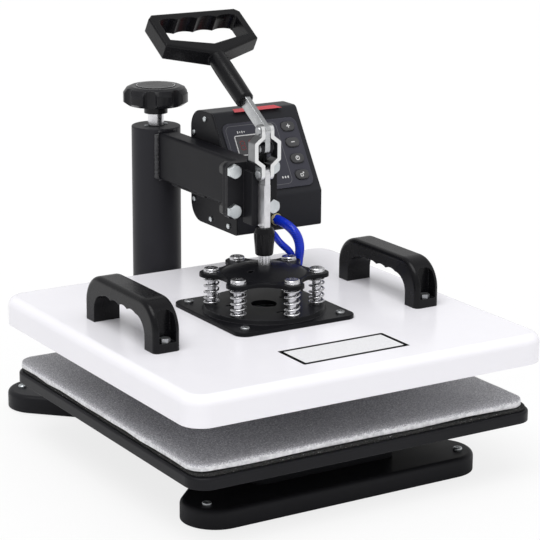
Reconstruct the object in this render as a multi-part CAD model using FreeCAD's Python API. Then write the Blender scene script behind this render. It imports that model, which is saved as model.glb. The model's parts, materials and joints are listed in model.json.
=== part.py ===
import FreeCAD, Part
import math
import os

# Combo heat press, millimetres. +Z up, -Y towards the operator, origin under the middle of the footprint.

V = FreeCAD.Vector
X_AXIS = V(1, 0, 0)
Y_AXIS = V(0, 1, 0)
Z_AXIS = V(0, 0, 1)
os.makedirs("parts", exist_ok=True)

# shared clearances
RUN_GAP = 0.05
SKIN_GAP = 0.2

# main axes
PLUNGER_Y = -42.0
PLATE_Y = -49.0
PLATEN_Y = -47.5
POST_GAP = 3.0

# feet
FRONT_FOOT_Y = -166.5
REAR_FOOT_PAST_POST = 32.5
FOOT_TIP_X = 128.0
FOOT_TIP_R = 33.5
FOOT_WAIST_X = 80.0
FOOT_TOP_Z = 20.0
FOOT_RIM_Z = 1.5
FOOT_WALL = 2.0
FOOT_EDGE_R = 5.0
FOOT_SCREW_X = 143.0
FOOT_SCREW_IN = 10.0
FOOT_SCREW_R = 2.5
FOOT_SCREW_HEAD_R = 4.6
FOOT_SCREW_HEAD_H = 2.6
RUBBER_FOOT_R = 17.0
RUBBER_FOOT_X = 134.0

# base spine
SPINE_W = 158.0
SPINE_FRONT_Y = -161.0
SPINE_PAST_POST = 37.5
SPINE_TOP_Z = 60.5
SPINE_WALL = 2.5
SPINE_LIP = 20.0
SPINE_MOUTH_GAP = 8.0
SPINE_CORNER_R = 8.0
FOOT_BOLT_X = 52.0
FOOT_BOLT_INSET = 11.0
BOLT_M8_R = 4.0
BOLT_M8_AF = 13.0
BOLT_M8_HEAD_H = 5.3
BOLT_HOLE_GAP = 0.3

# lower plate and pad
PLATE_SIZE = 380.0
PLATE_T = 11.0
PLATE_CORNER_R = 20.0
PLATE_SKIN_T = 5.0
PLATE_SKIRT_T = 6.0
PLATE_RIB_T = 4.0
PLATE_RIB_N = 3
PLATE_EDGE_R = 2.5
PLATE_BOLT_X = 60.0
PLATE_BOLT_Y = 95.0
PLATE_BOSS_R = 9.0
FOAM_INSET = 3.0
FOAM_T = 3.0
FOAM_CORNER_R = 17.0
PAD_INSET = 4.0
PAD_T = 7.5
PAD_CORNER_R = 18.0
PAD_SHIFT_X = -1.5
PAD_SHIFT_Y = 2.0
PAD_EDGE_R = 2.0

# post
CORE_R = 20.0
CORE_WALL = 5.0
CORE_FLANGE_R = 34.5
CORE_FLANGE_T = 6.0
CORE_BOLT_PCD_R = 28.0
CORE_COLLAR_H = 8.0
CORE_PLUG_H = 26.0
CORE_TOP_GAP = 4.0
SLEEVE_R = 26.0
SLEEVE_WALL = 4.0
SLEEVE_TOP_Z = 300.0
CAP_T = 4.0
BUSH_H = 24.0
THRUST_T = 2.0
STUD_R = 6.0
STUD_SHANK_L = 34.0
STUD_COLLAR_R = 8.5
STUD_COLLAR_H = 13.5
STUD_SPIGOT_L = 12.0
CAP_SCREW_X = 11.6

# lock knob
KNOB_R = 34.5
KNOB_H = 20.0
KNOB_HUB_R = 12.5
KNOB_HUB_H = 9.0
KNOB_BASE_IN = 5.0
KNOB_BASE_H = 3.5
KNOB_SHOULDER_H = 7.0
KNOB_CROWN_IN = 3.5
KNOB_CROWN_H = 2.0
KNOB_TOP_IN = 8.0
KNOB_SCALLOP_TURN = 77.0
KNOB_LOBES = 7
KNOB_SCALLOP_R = 9.0
KNOB_SCALLOP_CENTRE_R = 38.5
KNOB_DISC_R = 21.0
KNOB_DISC_T = 2.0

# arm
ARM_W = 22.0
ARM_H = 50.0
ARM_TOP_Z = 297.0
ARM_WALL = 3.0
ARM_CORNER_R = 3.0
WELD_R = 3.0
END_PLATE_W = 57.0
END_PLATE_H = 56.0
END_PLATE_T = 5.0
END_PLATE_CORNER_R = 6.0
FLANGE_T = 4.5
FLANGE_Y = -19.3
FLANGE_Z = 270.0
FLANGE_BOLT_X = 22.0
FLANGE_BOLT_Z = 20.0

# toggle linkage
CRANK_R = 17.5
LINK_L = 43.0
UPPER_PIN_Z = 332.3
PIN_R = 3.0
PIN_HEAD_R = 4.6
PIN_HEAD_H = 1.6
TONGUE_HALF = 2.8
STRAP_T = 4.0
STRAP_D = 12.5
STRAP_BOW = 7.8
STRAP_BOW_FROM = 9.5
STRAP_BOW_SLANT = 6.0
STRAP_BOW_TO = 6.8
STRAP_SLANT_SHIFT = 0.45
EAR_T = 3.3
EAR_BOSS_R = 5.6
GUIDE_HALF = 10.0
GUIDE_BOTTOM_Z = 237.0
GUIDE_TOP_Z = 290.0
GUIDE_GAP = 0.35
GUIDE_SHOULDER_H = 18.0
SLOT_NECK_HALF = 1.8
SLOT_NECK_D = 4.0
SLOT_HEAD_HALF = 5.2
SLOT_HEAD_D = 4.2

# lever
LEVER_ANGLE = 32.0
LEVER_BAR_D = 13.0
LEVER_BAR_L = 88.0
GRIP_STEM_FROM = 43.0
GRIP_STEM_TO = 112.0
GRIP_T = 18.8
GRIP_TOP = 171.0
GRIP_HALF_W = 53.0
GRIP_LOW_CORNER = 124.0
GRIP_HOLE_HALF_W = 45.0
GRIP_HOLE_TOP = 160.0
GRIP_HOLE_LOW = 131.0
GRIP_HOLE_MID = 120.0
GRIP_SCALLOPS = 4
GRIP_SCALLOP_DEPTH = 2.6
GRIP_STEM_R_LOW = 9.3
GRIP_STEM_R_HIGH = 9.8
GRIP_EDGE_R = 2.5

# plunger, pressure sleeve and spring hub
BAR_HALF = 3.5
BAR_BOTTOM_Z = 236.0
BAR_SHOULDER = 10.6
STUB_R = 5.0
STUB_L = 12.0
PRESS_SLEEVE_R = 10.3
PRESS_SLEEVE_TIP_R = 8.8
PRESS_SLEEVE_H = 28.0
HUB_STUD_TOP_Z = 217.5
HUB_PLATE_TOP_Z = 190.7
HUB_PLATE_T = 4.0
HUB_DOME_H = 7.5
HUB_DOME_R = 42.0
HUB_BOSS_R = 13.0
HUB_RIVET_R = 8.0
HUB_RIVET_H = 2.0
SPRING_PCD_R = 52.0
SPRING_N = 6
LOBE_R = 12.0
VALLEY_R = 45.5

# spring bolts and springs
SHOULDER_R = 4.5
SHOULDER_GAP = 0.35
SHOULDER_HEAD_R = 7.6
SHOULDER_HEAD_H = 3.2
WASHER_R = 7.9
WASHER_T = 1.0
CROSS_W = 1.3
CROSS_L = 7.0
CROSS_D = 1.5
BOLT_TIP_L = 9.0
SPRING_WIRE_R = 1.0
SPRING_MEAN_R = 7.0
SPRING_END_PITCH = 2.5
SPRING_END_TURNS = 1.0
SPRING_MID_TURNS = 3.5

# upper platen
MOUNT_HALF = 67.5
MOUNT_T = 4.0
MOUNT_CORNER_R = 12.0
MOUNT_PLATEAU_R = 59.5
MOUNT_PLATEAU_H = 4.0
MOUNT_HOLE_AT = 54.5
MOUNT_SCREW_R = 2.5
MOUNT_SCREW_HEAD_R = 4.6
MOUNT_SCREW_HEAD_H = 2.4
MOUNT_CENTRE_R = 13.0
COVER_W = 394.0
COVER_D = 394.0
COVER_BOTTOM_Z = 121.0
COVER_TOP_Z = 149.7
COVER_PLAN_R = 22.0
COVER_EDGE_R = 9.0
COVER_WALL = 2.5
HEAT_RIM = 7.0
HEAT_BOTTOM_Z = 117.7
HEAT_T = 12.0
HEAT_CORNER_IN = 4.0
ELEMENT_R = 4.0
ELEMENT_BURY = 3.0
ELEMENT_REACH = 150.0
ELEMENT_PITCH = 60.0
ELEMENT_RUNS = 6
INSULATION_INSET = 8.0
INSULATION_T = 14.0
HEAT_BOSS_R = 9.0

# platen handles
HANDLE_INSET = 49.0
HANDLE_W = 28.0
HANDLE_L = 143.0
HANDLE_H = 47.5
HANDLE_LEG = 20.0
HANDLE_OPEN_H = 30.5
HANDLE_SHOULDER_R = 30.0
HANDLE_OPEN_R = 18.0
HANDLE_EDGE_R = 5.0
HANDLE_POCKET_W = 18.0
HANDLE_POCKET_D = 12.0
HANDLE_POCKET_Z = 9.0
HANDLE_POCKET_H = 30.0
HANDLE_POCKET_R = 6.0
HANDLE_FINGERS = 4
HANDLE_FINGER_DEPTH = 2.0
HANDLE_BOLT_R = 3.0

# control box
BOX_X = 12.5
BOX_W = 102.0
BOX_FRONT_Y = 31.6
BOX_D = 94.0
BOX_Z = 208.5
BOX_H = 118.0
BOX_CREASE_H = 37.0
BOX_SLOPE_D = 49.0
BOX_SLOPE_H = 77.0
BOX_WALL = 2.0
BOX_TOP_R = 7.0
BOX_REAR_R = 20.0
BOX_CREASE_R = 4.0
PANEL_T = 1.5
PANEL_W = 89.0
PANEL_L = 76.0
PANEL_CORNER_R = 8.0
DISPLAY_X = -10.5
DISPLAY_UP = 12.0
DISPLAY_W = 44.0
DISPLAY_H = 20.0
BUTTON_X = 32.2
BUTTON_TOP_UP = 27.0
BUTTON_PITCH = 18.0
BUTTON_W = 16.0
BUTTON_H = 10.4
BUTTON_PROUD = 1.8
BUTTON_GAP = 0.3
BOARD_T = 1.6
BOARD_DEEP = 12.0
RELAY_FROM = 16.0
RELAY_REAR = 20.0
RELAY_X = 30.0
RELAY_W = 44.0
RELAY_H = 20.0
RELAY_FOOT = 6.0
RELAY_EDGE = 2.0
SIDE_SCREW_HIGH = 93.0
SIDE_SCREW_LOW = 22.5
SIDE_SCREW_BACK = 52.0
SIDE_SCREW_FRONT = 16.0
SIDE_SCREW_TOP = 64.0
BRACKET_T = 1.5
BOX_LIP = 13.0
BRACKET_LEAF = 10.0
BOX_SCREW_R = 1.5
BOX_SCREW_HEAD_R = 3.0
BOX_SCREW_HEAD_H = 1.8
SWITCH_W = 14.0
SWITCH_H = 21.0
SWITCH_GAP = 0.3
SWITCH_TILT = -8.0
SWITCH_PIVOT_IN = 6.0
SWITCH_FRAME_T = 2.0
SWITCH_FRAME_D = 14.0
SWITCH_Z = 275.0
SWITCH_X = 85.0
INLET_W = 27.0
INLET_H = 20.0
INLET_D = 22.0
INLET_Z = 236.0
INLET_X = 80.0
FUSE_X = 42.0
FUSE_Z = 240.0
FUSE_R = 6.5

# platen cables
HEATER_CABLE_R = 4.0
SENSOR_CABLE_R = 2.85
GLAND_L = 2.0
GROMMET_H = 4.0
GROMMET_RIM = 2.2
GROMMET_WALL = 1.1
CABLE_GAP = 0.3
HEATER_CABLE_PATH = [
    (57.0, 29.6, 222.0), (57.0, 4.0, 222.0), (63.5, -10.0, 206.0), (60.0, -9.0, 178.0), (60.0, -9.0, 155.0),
]
SENSOR_CABLE_PATH = [
    (47.0, 29.6, 212.5), (47.0, 6.0, 212.5), (50.0, -3.0, 197.0), (60.0, 0.5, 181.0), (60.0, 0.5, 155.0),
]

# derived levels
POST_Y = max(PLATEN_Y + COVER_D / 2, PLATE_Y + PLATE_SIZE / 2) + POST_GAP + SLEEVE_R
REAR_FOOT_Y = POST_Y + REAR_FOOT_PAST_POST
SPINE_REAR_Y = POST_Y + SPINE_PAST_POST
PLATE_Z = SPINE_TOP_Z
PLATE_TOP_Z = PLATE_Z + PLATE_T
FOAM_TOP_Z = PLATE_TOP_Z + FOAM_T
PAD_TOP_Z = FOAM_TOP_Z + PAD_T
PIVOT_Z = UPPER_PIN_Z - CRANK_R
LOWER_PIN_Z = UPPER_PIN_Z - LINK_L
ARM_BOTTOM_Z = ARM_TOP_Z - ARM_H
END_PLATE_Y = FLANGE_Y + FLANGE_T
ARM_FRONT_Y = END_PLATE_Y + END_PLATE_T
SLEEVE_BOTTOM_Z = SPINE_TOP_Z + CORE_COLLAR_H + THRUST_T
SLEEVE_IN_R = SLEEVE_R - SLEEVE_WALL
CORE_TOP_Z = SLEEVE_TOP_Z - CAP_T - CORE_TOP_GAP
STRAP_IN = TONGUE_HALF + SKIN_GAP
STRAP_OUT = STRAP_IN + STRAP_T
EAR_IN = TONGUE_HALF + 0.4
EAR_OUT = EAR_IN + EAR_T
BAR_D = STRAP_D
BAR_REAR_Y = PLUNGER_Y + BAR_D / 2
HUB_PLATE_LOW_Z = HUB_PLATE_TOP_Z - HUB_PLATE_T
MOUNT_TOP_Z = COVER_TOP_Z + MOUNT_T
PLATEAU_TOP_Z = MOUNT_TOP_Z + MOUNT_PLATEAU_H
HEAT_W = COVER_W - 2 * HEAT_RIM
HEAT_D = COVER_D - 2 * HEAT_RIM
HEAT_CORNER_R = COVER_PLAN_R - HEAT_CORNER_IN
HEAT_TOP_Z = HEAT_BOTTOM_Z + HEAT_T
HANDLE_X = COVER_W / 2 - HANDLE_INSET
SLEEVE_LOW_Z = BAR_BOTTOM_Z - PRESS_SLEEVE_H
FINGER_W = (HANDLE_L - 2 * HANDLE_LEG - 2 * HANDLE_OPEN_R) / HANDLE_FINGERS


def box(x0, x1, y0, y1, z0, z1):
    """Box between two corners."""
    return Part.makeBox(x1 - x0, y1 - y0, z1 - z0, V(x0, y0, z0))


def rod(radius, length, at, along=Z_AXIS):
    """Round bar that starts at a point and runs along a direction."""
    return Part.makeCylinder(radius, length, at, along)


def cut_all(shape, tools):
    """Shape with every tool taken away."""
    return shape.cut(Part.makeCompound(tools)) if tools else shape


def join(shapes):
    """One solid out of touching or overlapping solids."""
    result = shapes[0]
    if len(shapes) > 1:
        result = result.fuse(shapes[1:])
    return result.removeSplitter()


def edges_where(shape, test):
    """Edges whose bounding box passes the test."""
    return [e for e in shape.Edges if test(e.BoundBox)]


def vertical(bb):
    """True for an upright edge."""
    return bb.ZLength > 1e-3 and bb.XLength < 1e-3 and bb.YLength < 1e-3


def rounded_block(x0, x1, y0, y1, z0, z1, radius):
    """Box with rounded upright edges."""
    block = box(x0, x1, y0, y1, z0, z1)
    return block.makeFillet(radius, edges_where(block, vertical))


def round_level(shape, z, radius):
    """Shape with the edges that lie flat at one height rounded."""
    flat = edges_where(shape, lambda b: b.ZLength < 1e-3 and abs(b.ZMin - z) < 1e-3)
    return shape.makeFillet(radius, flat)


def polygon_face(points):
    """Flat face through points."""
    return Part.Face(Part.makePolygon([V(*p) for p in points] + [V(*points[0])]))


def side_prism(points, x0, x1):
    """Outline given as (y, z) points, drawn out along X."""
    return polygon_face([(x0, y, z) for y, z in points]).extrude(V(x1 - x0, 0, 0))


def hex_head(flats, height, at, along=Z_AXIS):
    """Hexagon head with a chamfered crown."""
    radius = flats / math.sqrt(3)
    corners = [V(radius * math.cos(math.radians(60 * i + 30)), radius * math.sin(math.radians(60 * i + 30)), 0)
               for i in range(7)]
    prism = Part.Face(Part.makePolygon(corners)).extrude(V(0, 0, height))
    crown = Part.makeCone(radius + 0.2 + 0.35 * height, 0.86 * radius, 0.5 * height, V(0, 0, 0.5 * height))
    crown = join([crown, rod(radius + 0.2 + 0.35 * height, 0.5 * height, V(0, 0, 0))])
    head = prism.common(crown)
    head.Placement = FreeCAD.Placement(at, FreeCAD.Rotation(Z_AXIS, along))
    return head


def hex_bolt(radius, length, flats, head_h, at, along=Z_AXIS):
    """Bolt whose head sits behind the start point and whose shank runs along a direction."""
    head = hex_head(flats, head_h, at, along * -1)
    return join([head, rod(radius, length, at, along)])


def hex_nut(radius, flats, height, at, along=Z_AXIS):
    """Nut on a shank of the given radius."""
    return hex_head(flats, height, at, along).cut(rod(radius + RUN_GAP, height * 3, at - along * height, along))


def ring(outer, inner, height, at, along=Z_AXIS):
    """Washer or bush."""
    return rod(outer, height, at, along).cut(rod(inner, height * 3, at - along * height, along))


def polar(radius, angle, z=0.0, centre_y=0.0):
    """Point on a circle round an upright axis at x = 0."""
    a = math.radians(angle)
    return V(radius * math.cos(a), centre_y + radius * math.sin(a), z)


def write(name, shapes):
    """Save one node as a STEP file."""
    solids = []
    for shape in shapes if isinstance(shapes, list) else [shapes]:
        solids.extend(shape.Solids)
    for solid in solids:
        if not solid.isValid():
            print("CHECK", name, "has a solid that is not valid")
    whole = solids[0] if len(solids) == 1 else Part.makeCompound(solids)
    whole.exportStep("parts/" + name + ".step")
    print(name, len(solids), "solids", round(whole.Volume / 1000, 2), "cm3")


# feet and base

def foot_outline(tip_y, inward, shrink, z):
    """Foot plan: straight outer edge, round tips and slanted flanks on the inner side."""
    r = FOOT_TIP_R - shrink
    slant = math.sqrt(0.5)
    waist = FOOT_WAIST_X - shrink * math.tan(math.radians(22.5))
    flank_x = FOOT_TIP_X + r * slant
    flank_y = r * slant
    deep_y = flank_y + flank_x - waist
    outer_l = V(-FOOT_TIP_X, tip_y - inward * r, z)
    outer_r = V(FOOT_TIP_X, tip_y - inward * r, z)
    flank_r = V(flank_x, tip_y + inward * flank_y, z)
    flank_l = V(-flank_x, tip_y + inward * flank_y, z)
    deep_r = V(waist, tip_y + inward * deep_y, z)
    deep_l = V(-waist, tip_y + inward * deep_y, z)
    side = math.radians(22.5)
    mid_r = V(FOOT_TIP_X + r * math.cos(side), tip_y - inward * r * math.sin(side), z)
    mid_l = V(-FOOT_TIP_X - r * math.cos(side), tip_y - inward * r * math.sin(side), z)
    edges = [
        Part.LineSegment(outer_l, outer_r).toShape(),
        Part.Arc(outer_r, mid_r, flank_r).toShape(),
        Part.LineSegment(flank_r, deep_r).toShape(),
        Part.LineSegment(deep_r, deep_l).toShape(),
        Part.LineSegment(deep_l, flank_l).toShape(),
        Part.Arc(flank_l, mid_l, outer_l).toShape(),
    ]
    return Part.Face(Part.Wire(edges))


def foot_bolt_y(tip_y):
    """Row of bolts that ties a foot to the spine."""
    if tip_y < 0:
        return SPINE_FRONT_Y + FOOT_BOLT_INSET
    return SPINE_REAR_Y - FOOT_BOLT_INSET


def foot_screw_spots(tip_y, inward):
    """Points of the two tip screws, at the underside of the foot's skin."""
    y = tip_y - inward * FOOT_SCREW_IN
    return [V(side * FOOT_SCREW_X, y, FOOT_TOP_Z - FOOT_WALL) for side in (-1, 1)]


def make_foot(tip_y, inward):
    """Pressed steel foot, open underneath."""
    foot = foot_outline(tip_y, inward, 0.0, FOOT_RIM_Z).extrude(V(0, 0, FOOT_TOP_Z - FOOT_RIM_Z))
    foot = round_level(foot, FOOT_TOP_Z, FOOT_EDGE_R)
    inner_h = FOOT_TOP_Z - FOOT_WALL
    hollow = foot_outline(tip_y, inward, FOOT_WALL, -1.0).extrude(V(0, 0, inner_h + 1.0))
    hollow = round_level(hollow, inner_h, FOOT_EDGE_R - FOOT_WALL)
    tools = [hollow]
    for spot in foot_screw_spots(tip_y, inward):
        tools.append(rod(FOOT_SCREW_R + BOLT_HOLE_GAP, 2 * FOOT_WALL, spot - Z_AXIS))
    for side in (-1, 1):
        at = V(side * FOOT_BOLT_X, foot_bolt_y(tip_y), FOOT_TOP_Z - FOOT_WALL - 1.0)
        tools.append(rod(BOLT_M8_R + BOLT_HOLE_GAP, 2 * FOOT_WALL, at))
    if tip_y > 0:
        for angle in (45, 135, 225, 315):
            at = polar(CORE_BOLT_PCD_R, angle, FOOT_TOP_Z - FOOT_WALL - 1.0, POST_Y)
            tools.append(rod(BOLT_M8_R + BOLT_HOLE_GAP, 2 * FOOT_WALL, at))
    return cut_all(foot, tools)


def make_foot_screws():
    """Pan head screws that hold the rubber feet."""
    screws = []
    for tip_y, inward in ((FRONT_FOOT_Y, 1), (REAR_FOOT_Y, -1)):
        for spot in foot_screw_spots(tip_y, inward):
            top = spot + Z_AXIS * FOOT_WALL
            head = rod(FOOT_SCREW_HEAD_R, FOOT_SCREW_HEAD_H, top)
            head = round_level(head, top.z + FOOT_SCREW_HEAD_H, 1.6)
            cross = [box(top.x - 2.6, top.x + 2.6, top.y - 0.5, top.y + 0.5, top.z + 1.4, top.z + 4.0),
                     box(top.x - 0.5, top.x + 0.5, top.y - 2.6, top.y + 2.6, top.z + 1.4, top.z + 4.0)]
            shank = rod(FOOT_SCREW_R, FOOT_WALL + 10.0, top - Z_AXIS * (FOOT_WALL + 10.0))
            screws.append(join([cut_all(head, cross), shank]))
    return screws


def make_rubber_feet():
    """Rubber plugs inside the tips, standing proud of the rims."""
    feet = []
    for tip_y, inward in ((FRONT_FOOT_Y, 1), (REAR_FOOT_Y, -1)):
        for index, spot in enumerate(foot_screw_spots(tip_y, inward)):
            side = -1 if index == 0 else 1
            height = FOOT_TOP_Z - FOOT_WALL
            plug = Part.makeCone(RUBBER_FOOT_R, RUBBER_FOOT_R - 1.5, height, V(side * RUBBER_FOOT_X, tip_y, 0))
            plug = round_level(plug, 0.0, 1.2)
            plug = plug.cut(rod(FOOT_SCREW_R + RUN_GAP, 12.0, spot - Z_AXIS * 11.0))
            feet.append(plug)
    return feet


def make_base_spine():
    """Folded steel box between the feet and the lower plate, open underneath inside its lips."""
    half = SPINE_W / 2
    outer = rounded_block(-half, half, SPINE_FRONT_Y, SPINE_REAR_Y, FOOT_TOP_Z, SPINE_TOP_Z, SPINE_CORNER_R)
    w = SPINE_WALL
    inner = rounded_block(-half + w, half - w, SPINE_FRONT_Y + w, SPINE_REAR_Y - w,
                          FOOT_TOP_Z + w, SPINE_TOP_Z - w, SPINE_CORNER_R - w)
    lip = SPINE_LIP
    mouth = rounded_block(-half + lip, half - lip, SPINE_FRONT_Y + lip, POST_Y - CORE_FLANGE_R - SPINE_MOUTH_GAP,
                          FOOT_TOP_Z - 1.0, FOOT_TOP_Z + w + 1.0, 10.0)
    tools = [inner, mouth]
    for tip_y in (FRONT_FOOT_Y, REAR_FOOT_Y):
        for side in (-1, 1):
            at = V(side * FOOT_BOLT_X, foot_bolt_y(tip_y), FOOT_TOP_Z - 1.0)
            tools.append(rod(BOLT_M8_R + BOLT_HOLE_GAP, 3 * w, at))
    for at in plate_bolt_spots():
        tools.append(rod(BOLT_M8_R + BOLT_HOLE_GAP, 3 * w, at - Z_AXIS * (w + 1.0)))
    tools.append(rod(CORE_R + RUN_GAP, 3 * w, V(0, POST_Y, SPINE_TOP_Z - 2 * w)))
    for angle in (45, 135, 225, 315):
        at = polar(CORE_BOLT_PCD_R, angle, FOOT_TOP_Z - 1.0, POST_Y)
        tools.append(rod(BOLT_M8_R + BOLT_HOLE_GAP, 3 * w, at))
    return cut_all(outer, tools)


def plate_bolt_spots():
    """Points of the four bolts that hold the lower plate, at the spine's top."""
    return [V(sx * PLATE_BOLT_X, PLATE_Y + sy * PLATE_BOLT_Y, SPINE_TOP_Z) for sx in (-1, 1) for sy in (-1, 1)]


def make_base_bolts():
    """Bolts of the base: feet and post to the spine with nuts, and spine to the lower plate's bosses."""
    parts = []
    grip = FOOT_WALL + SPINE_WALL
    spots = [(V(side * FOOT_BOLT_X, foot_bolt_y(tip_y), FOOT_TOP_Z - FOOT_WALL), grip)
             for tip_y in (FRONT_FOOT_Y, REAR_FOOT_Y) for side in (-1, 1)]
    for angle in (45, 135, 225, 315):
        spots.append((polar(CORE_BOLT_PCD_R, angle, FOOT_TOP_Z - FOOT_WALL, POST_Y), grip + CORE_FLANGE_T))
    for at, thick in spots:
        parts.append(hex_bolt(BOLT_M8_R, thick + 9.0, BOLT_M8_AF, BOLT_M8_HEAD_H, at))
        parts.append(hex_nut(BOLT_M8_R, BOLT_M8_AF, 6.5, at + Z_AXIS * thick))
    for at in plate_bolt_spots():
        low = at - Z_AXIS * SPINE_WALL
        parts.append(hex_bolt(BOLT_M8_R, SPINE_WALL + 7.5, BOLT_M8_AF, BOLT_M8_HEAD_H, low))
    return parts


def make_lower_plate():
    """Cast lower plate with a skirt, a grid of ribs and four bolt bosses."""
    half = PLATE_SIZE / 2
    cy = PLATE_Y
    plate = rounded_block(-half, half, cy - half, cy + half, PLATE_Z, PLATE_TOP_Z, PLATE_CORNER_R)
    plate = round_level(plate, PLATE_TOP_Z, PLATE_EDGE_R)
    rim = half - PLATE_SKIRT_T
    skin_z = PLATE_TOP_Z - PLATE_SKIN_T
    hollow = rounded_block(-rim, rim, cy - rim, cy + rim, PLATE_Z - 1.0, skin_z, PLATE_CORNER_R - PLATE_SKIRT_T)
    keep = []
    step = 2 * rim / (PLATE_RIB_N + 1)
    for i in range(1, PLATE_RIB_N + 1):
        at = -rim + i * step
        t = PLATE_RIB_T / 2
        keep.append(box(at - t, at + t, cy - rim, cy + rim, PLATE_Z, skin_z))
        keep.append(box(-rim, rim, cy + at - t, cy + at + t, PLATE_Z, skin_z))
    for at in plate_bolt_spots():
        keep.append(rod(PLATE_BOSS_R, skin_z - PLATE_Z, at))
    hollow = cut_all(hollow, keep)
    threads = [rod(BOLT_M8_R + RUN_GAP, 9.0, at - Z_AXIS) for at in plate_bolt_spots()]
    return cut_all(plate, [hollow] + threads)


def make_foam_sheet():
    """Thin foam sheet between the plate and the pad."""
    half = PLATE_SIZE / 2 - FOAM_INSET
    return rounded_block(-half, half, PLATE_Y - half, PLATE_Y + half, PLATE_TOP_Z, FOAM_TOP_Z, FOAM_CORNER_R)


def make_silicone_pad():
    """Soft pad that the work lies on."""
    half = PLATE_SIZE / 2 - PAD_INSET
    cx = PAD_SHIFT_X
    cy = PLATE_Y + PAD_SHIFT_Y
    pad = rounded_block(cx - half, cx + half, cy - half, cy + half, FOAM_TOP_Z, PAD_TOP_Z,
                        PAD_CORNER_R)
    return round_level(pad, PAD_TOP_Z, PAD_EDGE_R)


# post and swing sleeve

def make_post_core():
    """Fixed column with its floor flange, shaft collar and threaded top plug."""
    tube = rod(CORE_R, CORE_TOP_Z - FOOT_TOP_Z - SPINE_WALL, V(0, POST_Y, FOOT_TOP_Z + SPINE_WALL))
    flange = rod(CORE_FLANGE_R, CORE_FLANGE_T, V(0, POST_Y, FOOT_TOP_Z + SPINE_WALL))
    collar = rod(SLEEVE_R, CORE_COLLAR_H, V(0, POST_Y, SPINE_TOP_Z))
    collar = round_level(collar, SPINE_TOP_Z + CORE_COLLAR_H, 1.5)
    core = join([tube, flange, collar])
    bore_h = CORE_TOP_Z - CORE_PLUG_H - FOOT_TOP_Z
    bore = rod(CORE_R - CORE_WALL, bore_h, V(0, POST_Y, FOOT_TOP_Z))
    thread = rod(STUD_R + RUN_GAP, CORE_PLUG_H + 2.0, V(0, POST_Y, CORE_TOP_Z - CORE_PLUG_H - 1.0))
    holes = []
    for angle in (45, 135, 225, 315):
        at = polar(CORE_BOLT_PCD_R, angle, FOOT_TOP_Z, POST_Y)
        holes.append(rod(BOLT_M8_R + BOLT_HOLE_GAP, 20.0, at))
    return cut_all(core, [bore, thread] + holes)


def make_thrust_washer():
    """Washer that carries the swing sleeve on the core's collar."""
    low = SPINE_TOP_Z + CORE_COLLAR_H
    return ring(SLEEVE_R - 1.0, CORE_R + RUN_GAP, THRUST_T, V(0, POST_Y, low))


def make_post_sleeve():
    """Swing sleeve with its welded cap."""
    height = SLEEVE_TOP_Z - SLEEVE_BOTTOM_Z
    outer = rod(SLEEVE_R, height, V(0, POST_Y, SLEEVE_BOTTOM_Z))
    outer = round_level(outer, SLEEVE_TOP_Z, 1.2)
    inner = rod(SLEEVE_IN_R, height - CAP_T + 1.0, V(0, POST_Y, SLEEVE_BOTTOM_Z - 1.0))
    hole = rod(STUD_R + 0.5, 3 * CAP_T, V(0, POST_Y, SLEEVE_TOP_Z - 2 * CAP_T))
    taps = [rod(1.5 + RUN_GAP, 3 * CAP_T, V(s * CAP_SCREW_X, POST_Y, SLEEVE_TOP_Z - 2 * CAP_T)) for s in (-1, 1)]
    return cut_all(outer, [inner, hole] + taps)


def make_post_bushes():
    """Two plain bushes pressed into the sleeve."""
    top = SLEEVE_TOP_Z - CAP_T - 6.0 - BUSH_H
    low = SLEEVE_BOTTOM_Z + 0.5
    return [ring(SLEEVE_IN_R - RUN_GAP, CORE_R + RUN_GAP, BUSH_H, V(0, POST_Y, z)) for z in (low, top)]


def make_cap_screws():
    """Two small grub screws in the cap."""
    screws = []
    for side in (-1, 1):
        at = V(side * CAP_SCREW_X, POST_Y, SLEEVE_TOP_Z - CAP_T)
        head = rod(2.1, 1.2, at + Z_AXIS * CAP_T)
        screws.append(join([rod(1.5, CAP_T, at), round_level(head, SLEEVE_TOP_Z + 1.2, 0.5)]))
    return screws


def make_knob_stud():
    """Clamping stud with its bright collar."""
    shank = rod(STUD_R, STUD_SHANK_L, V(0, POST_Y, SLEEVE_TOP_Z - STUD_SHANK_L))
    collar = rod(STUD_COLLAR_R, STUD_COLLAR_H, V(0, POST_Y, SLEEVE_TOP_Z))
    collar = round_level(collar, SLEEVE_TOP_Z, 0.8)
    spigot = rod(STUD_R, STUD_SPIGOT_L, V(0, POST_Y, SLEEVE_TOP_Z + STUD_COLLAR_H))
    return join([shank, collar, spigot])


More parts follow.
